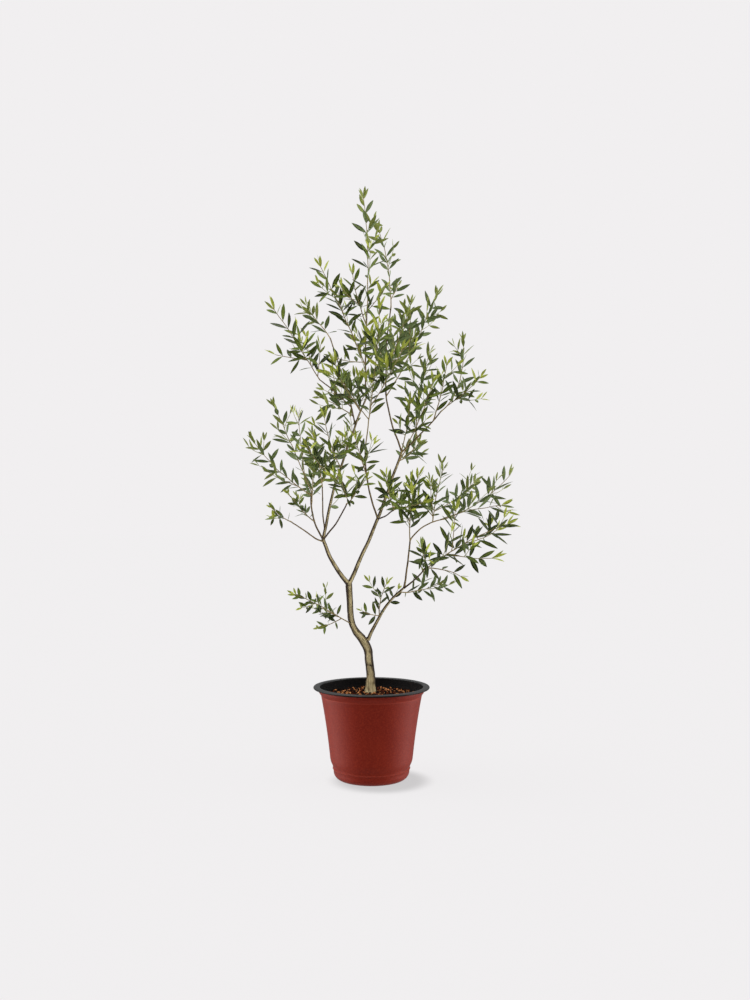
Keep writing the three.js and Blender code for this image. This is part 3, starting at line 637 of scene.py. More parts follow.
def rim_outline():
    """The rolled rim as radius and height: out from the collar, round the lip, and back into the mouth."""
    thick, lip, mouth = RIM["thickness"], RIM["radius"], RIM["mouth"]
    roll, mouth_roll = RIM["roll"], RIM["mouth_roll"]
    edge, top = RIM["edge_height"], RIM["height"]
    collar, over = COLLAR["radius"], COLLAR["top"]
    underside = [(collar - 0.9, over + 0.2), (collar + 0.8, over + 0.4), (collar + 2.2, over + 1.5)]
    underside += [(lip - thick - 1.2, edge - thick), (lip - 2.4, edge - 3.3)]
    lip_roll = arc((lip - roll, edge - roll), roll, start=-80, end=78, steps=10)
    flange = [(mouth + 7, top - 0.3)]
    into_mouth = arc((mouth + mouth_roll, top - mouth_roll), mouth_roll, start=84, end=172, steps=6)
    return underside + lip_roll + flange + into_mouth


def make_pot_lining(clean, splashed):
    """The black lining: a thin shell against the wall, its rim rolled out flat and down in a lip."""
    inset = SKIN + PLAY
    outer = wall_outline(inset, COLLAR["height"])
    inner = wall_outline(inset + SKIN, COLLAR["height"] - 3)[::-1]
    lining = turned("black_pot_lining", outer + rim_outline() + inner, clean)
    lining.data.materials.append(splashed)
    # Watering splashes the inside, from the mouth down, and drips from under the lip
    for face in lining.data.polygons:
        out, height = math.hypot(*face.center[:2]) / MM, face.center[2] / MM
        inside = out < RIM["mouth"] + 0.3
        under_lip = out > RIM["radius"] - 3 and height < RIM["edge_height"] - 1.6
        if inside or under_lip:
            face.material_index = 1
    drill(lining)
    smooth(lining, 50)
    hand_over(lining, "black_plastic", "pot_lining")


# Growing medium

def bed_height(radius):
    """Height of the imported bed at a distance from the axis."""
    out = (radius - BED["level_radius"]) / (wall_radius(BED["edge_height"]) - BED["level_radius"])
    return BED["level_height"] + (BED["edge_height"] - BED["level_height"]) * np.clip(out, 0, 1)


def pellet_shape():
    """Points and faces of a rounded pellet, 2 units across: a cube, divided once and drawn to a sphere."""
    deselect()
    bpy.ops.mesh.primitive_cube_add(size=1)
    pellet = bpy.context.object
    bpy.ops.object.mode_set(mode="EDIT")
    bpy.ops.mesh.select_all(action="SELECT")
    bpy.ops.mesh.subdivide(number_cuts=1)
    bpy.ops.transform.tosphere(value=0.8)
    bpy.ops.object.mode_set(mode="OBJECT")
    points = np.array([v.co for v in pellet.data.vertices])
    faces = np.array([p.vertices for p in pellet.data.polygons])
    bpy.data.objects.remove(pellet)
    return points / np.abs(points).max(), faces


def turns(rng, count, tilt):
    """Random rotations, as one matrix each: any way round, tipped by up to the tilt in radians."""
    yaw = rng.uniform(0, 2 * np.pi, count)
    pitch = rng.uniform(-tilt, tilt, count)
    roll = rng.uniform(-tilt, tilt, count)
    cy, sy, cp, sp, cr, sr = (f(a) for a in (yaw, pitch, roll) for f in (np.cos, np.sin))
    one, none = np.ones(count), np.zeros(count)
    about_z = np.array([[cy, -sy, none], [sy, cy, none], [none, none, one]])
    about_y = np.array([[cp, none, sp], [none, one, none], [-sp, none, cp]])
    about_x = np.array([[one, none, none], [none, cr, -sr], [none, sr, cr]])
    return np.einsum("ijn,jkn,kln->nil", about_z, about_y, about_x)


def scatter(rng, tries, apart):
    """Places on the bed that keep a distance from each other, from the trunk and from the lining."""
    _, trunk_across, trunk_back, trunk_radius = TRUNK[1]
    trunk = np.array([trunk_across, trunk_back])
    kept = np.zeros((0, 2))
    for _ in range(tries):
        out = BED["reach"] * math.sqrt(rng.random())
        # Any way round: a full turn and a little more
        angle = rng.uniform(0, 7)
        place = out * np.array([math.cos(angle), math.sin(angle)])
        if np.linalg.norm(place - trunk) < trunk_radius + BED["trunk_gap"]:
            continue
        if len(kept) and np.min(np.sum((kept - place) ** 2, axis=1)) < apart * apart:
            continue
        kept = np.vstack([kept, place])
    return kept


def pellet_layer(rng, layer, shape):
    """Points of a layer's pellets, each with its own size, lumps and lie."""
    places = scatter(rng, layer["tries"], layer["apart"])
    count = len(places)
    size = [rng.uniform(*PELLET[way], count) / 2 for way in ("length", "width", "thickness")]
    lumps = 1 + rng.uniform(*PELLET["lumps"], (count, len(shape), 1))
    local = shape[None] * lumps * np.stack(size, axis=1)[:, None, :]
    local = np.einsum("nij,nvj->nvi", turns(rng, count, PELLET["tilt"]), local)
    bedded = bed_height(np.linalg.norm(places, axis=1)) + layer["raised"]
    height = bedded + rng.uniform(*PELLET["unevenness"], count)
    return local + np.column_stack([places, height])[:, None, :]


def make_pellets(materials):
    """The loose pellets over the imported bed, in one piece."""
    rng = np.random.default_rng(PELLET_SEED)
    shape, faces = pellet_shape()
    all_points, kinds = [], []
    for layer in PELLET_LAYERS:
        points = pellet_layer(rng, layer, shape)
        all_points.append(points.reshape(-1, 3))
        kind = rng.choice(len(materials), len(points), p=PELLET["kinds"])
        kinds.append(np.repeat(kind, len(faces)))
    points = np.concatenate(all_points)
    starts = np.arange(0, len(points), len(shape))
    all_faces = (faces[None] + starts[:, None, None]).reshape(-1, 4).tolist()
    pellets = piece_of("clay_pellets", points, all_faces, materials, np.concatenate(kinds))
    smooth(pellets, 60)
    hand_over(pellets, "clay_pellets")


# Limbs

class Path:
    """A curve from foot to tip, kept as closely spaced points."""

    def __init__(self, points):
        self.points = np.asarray(points, float)
        steps = np.linalg.norm(np.diff(self.points, axis=0), axis=1)
        self.reached = np.concatenate([[0], np.cumsum(steps)])
        self.length = self.reached[-1]

    def at(self, share):
        """The point, or points, at a share of the length."""
        distance = np.asarray(share) * self.length
        return np.stack([np.interp(distance, self.reached, self.points[:, k]) for k in range(3)], axis=-1)

    def heading(self, share):
        """The direction of growth at a share of the length."""
        share = np.asarray(share)
        ahead = self.at(np.minimum(share + 0.01, 1)) - self.at(np.maximum(share - 0.01, 0))
        return ahead / np.linalg.norm(ahead, axis=-1, keepdims=True)


def unit(vector):
    return vector / np.linalg.norm(vector)


def limb_path(foot, tip, bow):
    """A curve whose middle lies off the straight line from foot to tip by the bow."""
    t = np.linspace(0, 1, 81)[:, None]
    control = (foot + tip) / 2 + 2 * np.asarray(bow)
    return Path((1 - t) ** 2 * foot + 2 * t * (1 - t) * control + t ** 2 * tip)


def trunk_path():
    """A centripetal curve through the middles of the trunk's stations."""
    stations = np.array([(across, back, height) for height, across, back, _ in TRUNK], float)
    ends = [2 * stations[0] - stations[1], 2 * stations[-1] - stations[-2]]
    knots = np.vstack([ends[0], stations, ends[1]])
    points = []
    for a, b, c, d in zip(knots, knots[1:], knots[2:], knots[3:]):
        before, here, after = (np.linalg.norm(q - p) ** 0.5 for p, q in ((a, b), (b, c), (c, d)))
        leave = ((b - a) / before - (c - a) / (before + here) + (c - b) / here) * here
        arrive = ((c - b) / here - (d - b) / (here + after) + (d - c) / after) * here
        t = np.linspace(0, 1, 20, endpoint=False)[:, None]
        points.append((2 * t ** 3 - 3 * t ** 2 + 1) * b + (t ** 3 - 2 * t ** 2 + t) * leave
                      + (3 * t ** 2 - 2 * t ** 3) * c + (t ** 3 - t ** 2) * arrive)
    return Path(np.vstack([*points, stations[-1:]]))


def swayed(path, sway, wave, seed):
    """The same path with slight kinks, as wood grows, and its two ends kept."""
    moved = path.points.copy()
    for i, reached in enumerate(path.reached):
        share = reached / path.length
        push = noise.noise_vector(Vector((reached / wave, seed * 7.3, 0.5)))
        moved[i] += np.array(push) * sway * min(1, 6 * share, 6 * (1 - share))
    return Path(moved)


def sections(path, shares):
    """Middles of a limb's sections and two directions square to it at each, carried along with no twist."""
    headings = path.heading(shares)
    helper = np.array([1.0, 0, 0]) if abs(headings[0][0]) < 0.9 else np.array([0, 1.0, 0])
    first = np.empty_like(headings)
    first[0] = unit(helper - headings[0] * (helper @ headings[0]))
    for i in range(1, len(shares)):
        first[i] = unit(first[i - 1] - headings[i] * (first[i - 1] @ headings[i]))
    return path.at(shares), headings, first, np.cross(headings, first)


def tube(path, radii, sides, spacing, flare):
    """A closed tube along a path: points, faces, and each point's grain, its place across and along wood.
    The foot flares by a share of its radius, as wood does where it leaves a thicker limb."""
    rings = max(3, math.ceil(path.length / spacing))
    shares = np.linspace(0, 1, rings + 1)
    middles, headings, first, second = sections(path, shares)
    radius = radii(middles) if callable(radii) else np.interp(shares, (0, 1), radii)
    along = shares * path.length
    # The flare fades within a few radii of the foot
    radius = radius * (1 + flare * np.exp(-along / (2.2 * radius[0])))
    angles = np.arange(sides) * 2 * np.pi / sides
    x = radius[:, None] * np.cos(angles)
    y = radius[:, None] * np.sin(angles)
    skin = middles[:, None] + x[..., None] * first[:, None] + y[..., None] * second[:, None]
    ends = np.stack([middles[0], middles[-1] + headings[-1] * radius[-1] * 0.8])
    points = np.vstack([skin.reshape(-1, 3), ends])
    grain = np.stack([x, y, np.repeat(along[:, None], sides, axis=1)], axis=-1).reshape(-1, 3)
    grain = np.vstack([grain, [[0, 0, 0], [0, 0, along[-1]]]])
    faces = []
    for ring in range(rings):
        for side in range(sides):
            a, b = ring * sides + side, ring * sides + (side + 1) % sides
            faces.append((a, b, b + sides, a + sides))
    foot, tip = len(points) - 2, len(points) - 1
    last = rings * sides
    faces += [(foot, (side + 1) % sides, side) for side in range(sides)]
    faces += [(tip, last + side, last + (side + 1) % sides) for side in range(sides)]
    return points, faces, grain


def joined(tubes):
    """Several tubes as one set of points, faces and grain."""
    points, faces, grain, start = [], [], [], 0
    for some_points, some_faces, some_grain in tubes:
        points.append(some_points)
        grain.append(some_grain)
        faces += [tuple(start + i for i in face) for face in some_faces]
        start += len(some_points)
    return np.vstack(points), faces, np.vstack(grain)


def trunk_radii(middles):
    heights = [row[0] for row in TRUNK]
    return np.interp(middles[:, 2], heights, [row[3] for row in TRUNK])


def bark_relief(grain, furrow, seed):
    """Relief of bark from 0, deep, to 1, high: ridges that run along the grain, broken by cross cracks."""
    # Ridges are 9 times as long as wide, and knobs 3.2 times as wide as a furrow
    across, along, knobs = furrow, 9 * furrow, 3.2 * furrow
    relief = np.empty(len(grain))
    for i, (x, y, z) in enumerate(grain):
        ridge = noise.noise(Vector((x / across, y / across, z / along + seed)))
        fine = noise.noise(Vector((x / across * 2.3, y / across * 2.3, z / along * 3 + seed)))
        knob = noise.noise(Vector((x / knobs, y / knobs, z / knobs - seed)))
        relief[i] = 0.5 + RELIEF["ridges"] * ridge + RELIEF["fine"] * fine + RELIEF["knobs"] * knob
    return np.clip(relief, 0, 1)


def painted_light_share(out, heights):
    """How far a point faces the bark's painted highlight, or the other way: 1 there, and 0 at the sides,
    painted in shade.
    """
    turn = np.radians(np.interp(heights, PAINTED_HIGHLIGHT_WAY["heights"], PAINTED_HIGHLIGHT_WAY["turns"]))
    size = np.linalg.norm(out[:, :2], axis=1)
    facing = out[:, 0] * np.sin(turn) - out[:, 1] * np.cos(turn)
    faced = np.abs(np.divide(facing, size, out=np.zeros_like(size), where=size > 0.05))
    return 1 - (1 - faced) * np.interp(heights, PAINTED_SHADE_SIDES["heights"], PAINTED_SHADE_SIDES["shares"])


def melt(wood):
    """Melts the wood's tubes into one skin, smooths it, and cuts it off flat inside the growing medium."""
    remesh = wood.modifiers.new("melt", "REMESH")
    remesh.mode = "VOXEL"
    remesh.voxel_size = MELT["grid"] * MM
    relax = wood.modifiers.new("relax", "SMOOTH")
    relax.factor = MELT["share"]
    relax.iterations = MELT["rounds"]
    apply_modifiers(wood)
    select_only(wood)
    bpy.ops.object.mode_set(mode="EDIT")
    bpy.ops.mesh.select_all(action="SELECT")
    bpy.ops.mesh.bisect(plane_co=(0, 0, TRUNK_CUT * MM), plane_no=(0, 0, 1), use_fill=True,
                        clear_inner=True)
    bpy.ops.object.mode_set(mode="OBJECT")


def ring_press(place, grain, height, width):
    """How hard a ring presses at each point of the trunk, up to 1: tilted, and uneven round the wood."""
    uneven = 0.6 + 0.4 * np.sin(2.1 * np.arctan2(grain[:, 1], grain[:, 0]) + height)
    level = place[:, 2] + 0.25 * (place[:, 0] + 10)
    return uneven * np.exp(-((level - height) / width) ** 2)


def make_trunk(limbs, material):
    """Trunk and main boughs: tubes melted into one skin, smoothed, then given the bark's relief."""
    tubes = []
    for name in MAIN_LIMBS:
        limb = limbs[name]
        tubes.append(tube(limb["path"], limb["radii"], *TUBES["trunk" if name == "trunk" else "main"]))
    points, faces, _ = joined(tubes)
    wood = piece_of("trunk_and_main_boughs", points, faces, [material])
    melt(wood)
    place, grain = grain_of(wood, [limbs[name]["path"] for name in MAIN_LIMBS])
    normals = np.array([v.normal for v in wood.data.vertices])
    relief = bark_relief(grain, TRUNK_BARK["furrow"], TRUNK_BARK["seed"])
    # Bark is shallower on thin wood, and rings mark the thick wood alone, pressed in and darkened with
    # painted shade
    thickness = np.hypot(grain[:, 0], grain[:, 1])
    push = (relief - 0.5) * np.clip(thickness / 9, 0.35, 1) * TRUNK_BARK["depth"]
    for height, depth, width in TRUNK_RINGS:
        press = np.where(thickness > 6, ring_press(place, grain, height, width), 0)
        push -= depth * press
        relief -= 0.25 * press
    is_cut = place[:, 2] < TRUNK_CUT + 0.01
    place = np.where(is_cut[:, None], place, place + normals * push[:, None])
    wood.data.vertices.foreach_set("co", (place * MM).ravel())
    give_bark(wood, grain, relief, painted_light_share(normals, place[:, 2]))
    wood.data.update()
    smooth(wood, 60)
    hand_over(wood, "trunk_bark", *MAIN_LIMBS)


def nearest_of(points):
    """A tree that finds the nearest of some points."""
    tree = kdtree.KDTree(len(points))
    for i, point in enumerate(points):
        tree.insert(point, i)
    tree.balance()
    return tree


def grain_of(piece, paths):
    """Every point of a piece in millimetres, and its grain, read off the nearest of the paths."""
    place = np.array([v.co for v in piece.data.vertices]) / MM
    stations = []
    for path in paths:
        shares = np.linspace(0, 1, math.ceil(path.length / 2))
        middles, _, first, second = sections(path, shares)
        stations.append((middles, first, second, shares * path.length))
    middles, first, second, along = (np.concatenate(column) for column in zip(*stations))
    tree = nearest_of(middles)
    nearest = np.array([tree.find(p)[1] for p in place])
    offset = place - middles[nearest]
    x = np.sum(offset * first[nearest], axis=1)
    y = np.sum(offset * second[nearest], axis=1)
    return place, np.column_stack([x, y, along[nearest]])


def relieved(some_tube, path, seed):
    """A bough's tube with its bark's relief pressed in, that relief, and how far points face the painted
    highlight.
    """
    points, faces, grain = some_tube
    relief = bark_relief(grain, BOUGH_BARK["furrow"], seed)
    out = points - path.at(grain[:, 2] / path.length)
    size = np.linalg.norm(out, axis=1, keepdims=True)
    out = np.divide(out, size, out=np.zeros_like(out), where=size > 0.05)
    pressed = points + out * ((relief - 0.5) * BOUGH_BARK["depth"])[:, None]
    return (pressed, faces, grain), relief, painted_light_share(out, points[:, 2])


def make_boughs(limbs, material):
    """The slender boughs, one closed skin each, joined in one piece."""
    names = [name for name in limbs if name not in MAIN_LIMBS]
    tubes, reliefs, faced = [], [], []
    for seed, name in enumerate(names):
        limb = limbs[name]
        made = tube(limb["path"], limb["radii"], *TUBES["bough"])
        made, relief, face = relieved(made, limb["path"], seed)
        tubes.append(made)
        reliefs.append(relief)
        faced.append(face)
    points, faces, grain = joined(tubes)
    wood = piece_of("slender_boughs", points, faces, [material])
    give_bark(wood, grain, np.concatenate(reliefs), np.concatenate(faced))
    smooth(wood, 70)
    hand_over(wood, "bough_bark", *names)


# Foliage

def seeded(seed):
    """Random numbers from 0 to 1, always the same ones for a seed."""
    state = seed

    def draw():
        nonlocal state
        state = (state + 0x6D2B79F5) & 0xFFFFFFFF
        mixed = ((state ^ (state >> 15)) * (1 | state)) & 0xFFFFFFFF
        mixed = ((mixed + (((mixed ^ (mixed >> 7)) * (61 | mixed)) & 0xFFFFFFFF)) ^ mixed) & 0xFFFFFFFF
        return (mixed ^ (mixed >> 14)) / 2 ** 32

    return draw


def sway(random, reach):
    """A number either side of zero, as far as the reach."""
    return reach * (2 * random() - 1)


def across(direction, angle):
    """A direction square to another, turned by an angle round it."""
    helper = np.array([0, 0, 1.0]) if abs(direction[2]) < 0.9 else np.array([1.0, 0, 0])
    side = unit(np.cross(helper, direction))
    return side * math.cos(angle) + np.cross(direction, side) * math.sin(angle)


class Room:
    """What limbs leave free: a twig or leaf may touch none of them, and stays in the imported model's box."""

    def __init__(self, limbs):
        middles = [limb["path"].at(np.linspace(0, 1, 60)) for limb in limbs.values()]
        self.tree = nearest_of(np.vstack(middles))
        self.low = np.array(CAD_BOX[0]) / MM - PROUD
        self.high = np.array(CAD_BOX[1]) / MM + PROUD

    def is_free(self, points, gap):
        """Whether points keep a gap from every limb's middle."""
        points = np.atleast_2d(points)
        if np.any(points < self.low) or np.any(points > self.high):
            return False
        return all(self.tree.find(p)[2] > gap for p in points)


def grow_twigs(shoots, rule, spacing, holds, room, random):
    """Twigs leave each shoot one by one, a golden angle on each time, lifted to the light."""
    twigs = []
    for shoot in shoots:
        path = shoot["path"]
        stretch = rule["last"] - rule["first"]
        count = int(stretch * path.length / spacing)
        angle = 2 * math.pi * random()
        for i in range(count):
            share = rule["first"] + stretch * (i + random()) / count
            angle += GOLDEN_ANGLE
            heading = path.heading(share)
            reach = unit(across(heading, angle) + heading)
            reach[2] += rule["lift"]
            size = rule["length"] * (1 - rule["shrinks"] * share) * (1 + sway(random, rule["varies"]))
            foot = path.at(share)
            tip = foot + unit(reach) * size
            bend = np.array([sway(random, 2), sway(random, 2), -TWIG_SAG * size])
            if not (holds(tip) and room.is_free([(foot + 2 * tip) / 3, tip], TWIG_GAP)):
                continue
            twig_path = swayed(limb_path(foot, tip, bend), *KINKS["twig"], len(twigs) + size)
            twigs.append({"path": twig_path, "radii": TWIG_RADII, "bare": TWIG_BARE})
    return twigs


def grow_stem(row, seed, limbs):
    """A mass's stem, from the limb that carries it to its reach, and never thicker than that limb."""
    name, on, at, reach, bow, _ = row
    limb = limbs[on]
    reach = np.array(reach, float)
    tip = limb["rule"].at(at) + reach - STOPS_SHORT.get(name, LAST_LEAF) * unit(reach)
    path = swayed(limb_path(limb["path"].at(at), tip, bow), *KINKS["stem"], seed)
    widest = 0.92 * float(np.interp(at, (0, 1), limb["ends"]))
    radii = (min(STEM_RADII[0], widest), STEM_RADII[1])
    return {"path": path, "radii": radii, "bare": BARE.get(name, BARE_SHARE)}


def grow_fork(stem, share, reach):
    """A fork of a stem, at a share of its length."""
    reach = np.array(reach, float)
    foot = stem["path"].at(share)
    tip = foot + reach - LAST_LEAF * unit(reach)
    sag = (0, 0, -FORK_SAG * np.linalg.norm(reach))
    path = swayed(limb_path(foot, tip, sag), *KINKS["fork"], share)
    return {"path": path, "radii": FORK_RADII, "bare": stem["bare"]}


def grow_mass(row, seed, limbs, room):
    """The shoots of one mass: its stem, the forks of the stem, and the twigs of each generation."""
    name, forks = row[0], row[5]
    random = seeded(seed)
    stem = grow_stem(row, seed, limbs)
    shoots = [stem] + [grow_fork(stem, share, reach) for share, reach in forks]
    spurred = [{"path": limbs[limb]["path"]} for limb in SPURS.get(name, [])]
    core = np.vstack([shoot["path"].at(np.linspace(0, 1, 30)) for shoot in shoots + spurred])

    def holds(point):
        """Whether the mass still holds a point."""
        return np.min(np.linalg.norm(core - point, axis=1)) < MASS_RADIUS

    twigs = []
    parents = shoots + spurred
    for generation, rule in enumerate(TWIGS):
        spacing = rule["spacing"] / (DENSER.get(name, 1) if generation else 1)
        made = grow_twigs(parents, rule, spacing, holds, room, random)
        twigs += made
        parents = shoots + spurred + made
    for shoot in shoots + twigs:
        shoot["leaf_size"] = LEAF_SIZE.get(name, 1)
        shoot["growth"] = GROWTH.get(name, 1)
        shoot["apart"] = SPARSE.get(name, 1)
    return shoots, twigs, random, holds


def leaf_places(shoot, random):
    """Shares of a shoot's length where its pairs of leaves stand, with one more in a long one's tuft."""
    length, bare = shoot["path"].length, shoot["bare"]
    leafy = (1 - bare) * length
    count = max(1, round(leafy / (LEAF["spacing"] * shoot["leaf_size"] * shoot["apart"])))
    places = [bare + (1 - bare) * (i + sway(random, LEAF_VARIES["place"])) / count for i in range(count + 1)]
    if length > TUFT["longer_than"]:
        places.append(1 - TUFT["from_tip"] / length)
    return [min(max(place, 0.03), 1) for place in places]


def leaf_tilt(blade, heading, foot, random):
    """The way that a leaf's upper face looks: up, and out of the crown to the front or the back."""
    outward = np.array([sway(random, LEAF_VARIES["facing"]), -1 if foot[1] < CROWN_MIDDLE else 1, 0])
    face = 0.3 * heading + np.array([0, 0, 0.5]) + 0.7 * outward
    face = unit(face - blade * (face @ blade))
    roll = sway(random, LEAF_VARIES["roll"])
    return face * math.cos(roll) + np.cross(blade, face) * math.sin(roll)


def grow_leaf(shoot, share, outside, holds, room, random):
    """A leaf at a share of a shoot's length, on one side of it, or none where it has no room."""
    path = shoot["path"]
    heading = path.heading(share)
    to_tip = (1 - share) * path.length
    slope = LEAF_SLOPES["foot"] + (LEAF_SLOPES["tip"] - LEAF_SLOPES["foot"]) * share
    slope += sway(random, LEAF_VARIES["slope"])
    if to_tip < CLOSED_LENGTH:
        slope *= LEAF_SLOPES["closed"]
    blade = heading * math.cos(slope) + outside * math.sin(slope)
    blade = unit(blade + np.array([0, 0, LEAF["lift"]]))
    # Leaves are smaller at the tip, where they still grow, and a little smaller at the foot
    size = (0.6 + 0.4 * min(1, to_tip / FULL_SIZE_LENGTH)) * (0.86 + 0.14 * min(1, share / 0.25))
    width = LEAF["width"] * size * shoot["leaf_size"] ** 0.4 * (1 + sway(random, LEAF_VARIES["width"]))
    size *= shoot["leaf_size"] * (1 + sway(random, LEAF_VARIES["length"]))
    foot = path.at(share) + outside * 0.3
    tip = foot + blade * LEAF["length"] * size
    if not (holds(tip) and room.is_free([(foot + tip) / 2, tip], LEAF_GAP)):
        return None
    return {
        "foot": foot,
        "blade": blade,
        "face": leaf_tilt(blade, heading, foot, random),
        "length": LEAF["length"] * size,
        "width": width,
        "arch": sway(random, LEAF_VARIES["arch"]) - LEAF["sag"],
        "curve": sway(random, LEAF_VARIES["curve"]),
        "twist": sway(random, LEAF_VARIES["twist"]),
        "to_tip": to_tip / shoot["growth"],
        "old": 0.75 - 0.6 * shoot["growth"],
        "luck": random(),
    }


def leaf_pairs(shoot, holds, room, random):
    """Leaves of a shoot: opposite pairs, each square to the last, of which a few leaves have dropped."""
    path = shoot["path"]
    turn = 2 * math.pi * random()
    leaves = []
    for share in leaf_places(shoot, random):
        turn += math.pi / 2 + sway(random, LEAF_VARIES["turn"])
        for half in (0, math.pi):
            if random() < MISSING_LEAVES and (1 - share) * path.length > YOUNG_LENGTH:
                continue
            outside = across(path.heading(share), turn + half)
            leaves.append(grow_leaf(shoot, share, outside, holds, room, random))
    return [leaf for leaf in leaves if leaf]


def blade_shape():
    """One leaf: across and along as shares, which side of it a point is on, and the faces, upper ones first.
    Each station has a left edge, an upper rib, a right edge and a lower rib. The last point is the tip."""
    points = []
    for along, half in BLADE:
        points += [(-half, along, 0), (0, along, 1), (half, along, 0), (0, along, -1)]
    points.append((0, 1, 0))
    tip = len(points) - 1
    upper, lower = [], []
    for station in range(len(BLADE) - 1):
        left, rib, right, under = (4 * station + i for i in range(4))
        upper += [(left, rib, rib + 4, left + 4), (rib, right, right + 4, rib + 4)]
        lower += [(under, left, left + 4, under + 4), (right, under, under + 4, right + 4)]
    left, rib, right, under = (4 * (len(BLADE) - 1) + i for i in range(4))
    upper += [(left, rib, tip), (rib, right, tip)]
    lower += [(under, left, tip), (right, under, tip), (0, 3, 1), (1, 3, 2)]
    return np.array(points, float), upper, lower


def make_leaves(name, leaves, upper_face, under_face):
    """All the leaves of one age, joined in one piece, each bent and twisted its own way."""
    shape, upper, lower = blade_shape()
    u, v, side = shape.T
    column = {key: np.array([leaf[key] for leaf in leaves]) for key in leaves[0]}
    length, half = column["length"][:, None], column["width"][:, None] / 2
    turn = column["twist"][:, None] * v
    wide = half * u
    rise = LEAF["fold"] * np.abs(wide) + side * LEAF["thickness"] / 2 * (1 - 0.5 * v)
    out = wide * np.cos(turn) - rise * np.sin(turn)
    up = wide * np.sin(turn) + rise * np.cos(turn)
    up = up + column["arch"][:, None] * length * v * v
    out = out + column["curve"][:, None] * length * v * v
    blade, face = column["blade"], column["face"]
    edge = np.cross(blade, face)
    points = (column["foot"][:, None] + blade[:, None] * (length * v)[..., None]
              + edge[:, None] * out[..., None] + face[:, None] * up[..., None])
    faces = []
    for i in range(len(leaves)):
        start = i * len(shape)
        faces += [tuple(start + k for k in corner) for corner in upper + lower]
    kinds = np.tile([0] * len(upper) + [1] * len(lower), len(leaves))
    piece = piece_of(name, points.reshape(-1, 3), faces, [upper_face, under_face], kinds)
    rib = 1 - np.abs(u) / np.maximum(np.interp(v, *zip(*BLADE)), 0.05)
    give_values(piece, "rib", np.tile(rib, len(leaves)))
    smooth(piece, 65)
    return piece


def make_shoots(name, shoots, kind, bark, nodes):
    """Shoots of one age, joined in one piece. Their bark is smooth, with its painted highlight all round and
    no painted shade.
    """
    points, faces, grain = joined([tube(shoot["path"], shoot["radii"], *TUBES[kind]) for shoot in shoots])
    wood = piece_of(name, points, faces, [bark])
    give_bark(wood, grain, np.full(len(points), 0.5), np.full(len(points), 1.0))
    smooth(wood, 70)
    hand_over(wood, "olive_foliage", *nodes)


def age_of(leaf):
    """The piece that a leaf belongs to, by its way to the shoot's tip, and by luck: the rest are old."""
    if leaf["to_tip"] < YOUNG_LENGTH * (0.5 + leaf["luck"]):
        return "leaves_young"
    if leaf["to_tip"] < FRESH_LENGTH * (0.3 + leaf["luck"]):
        return "leaves_fresh"
    return "leaves_green" if leaf["luck"] > leaf["old"] + 0.2 else "leaves_deep"


def make_foliage(limbs, stem_bark, twig_bark):
    """Every mass: its shoots in two pieces by age of wood, and its leaves in four by age of the leaf."""
    room = Room(limbs)
    stems, twigs, leaves = [], [], []
    for seed, row in enumerate(MASSES, start=1):
        shoots, some_twigs, random, holds = grow_mass(row, seed, limbs, room)
        stems += shoots
        twigs += some_twigs
        for shoot in shoots + some_twigs:
            leaves += leaf_pairs(shoot, holds, room, random)
    nodes = [row[0] for row in MASSES]
    make_shoots("stems", stems, "stem", stem_bark, nodes)
    make_shoots("green_twigs", twigs, "twig", twig_bark, nodes)
    back = leaf_face("olive_leaf_back", "#536339", "#707e55", 0.6)
    young_back = leaf_face("olive_young_leaf_back", "#727c3a", "#8a934a", 0.55)
    faces = {
        "leaves_young": (leaf_face("olive_young_leaf", "#8f9830", "#a9b048", 0.48), young_back),
        "leaves_fresh": (leaf_face("olive_fresh_leaf", "#4f611b", "#6c7b2e", 0.46), young_back),
        "leaves_green": (leaf_face("olive_green_leaf", "#323f0c", "#4a5817", 0.46), back),
        "leaves_deep": (leaf_face("olive_deep_leaf", "#19250a", "#2e3b14", 0.46), back),
    }
    for age, (upper, under) in faces.items():
        piece = make_leaves(age, [leaf for leaf in leaves if age_of(leaf) == age], upper, under)
        hand_over(piece, "olive_foliage", *nodes)


def plan_limbs():
    """Path and radii of the trunk and every bough. The rule is the path without its kinks."""
    path = trunk_path()
    limbs = {"trunk": {"rule": path, "path": path, "radii": trunk_radii, "ends": (12, 8)}}
    for seed, (name, on, at, reach, bow, radii) in enumerate(BOUGHS, start=1):
        rule_foot = limbs[on]["rule"].at(at)
        tip = rule_foot + np.array(reach)
        rule = limb_path(rule_foot, tip, bow)
        foot = limbs[on]["path"].at(at) + np.array(FOOT_MOVED.get(name, (0, 0, 0)))
        path = swayed(limb_path(foot, tip, bow), *KINKS["bough"], seed)
        limbs[name] = {"rule": rule, "path": path, "radii": radii, "ends": radii}
    return limbs


# Stage

def make_camera():
    """The photograph's camera, a little below the middle of the tree and tilted up by a degree."""
    camera = bpy.data.objects.new("camera", bpy.data.cameras.new("camera"))
    bpy.context.scene.collection.objects.link(camera)
    camera.data.sensor_width = CAMERA["sensor"]
    camera.data.lens = CAMERA["sensor"] * CAMERA["focal_px"] / PHOTO_HEIGHT
    pitch = math.atan((CAMERA["horizon_px"] - PHOTO_HEIGHT / 2) / CAMERA["focal_px"])
    camera.location = (CAMERA["across"] * MM, CAMERA["back"] * MM, CAMERA["height"] * MM)
    camera.rotation_euler = (math.pi / 2 + pitch, 0, 0)
    bpy.context.scene.camera = camera


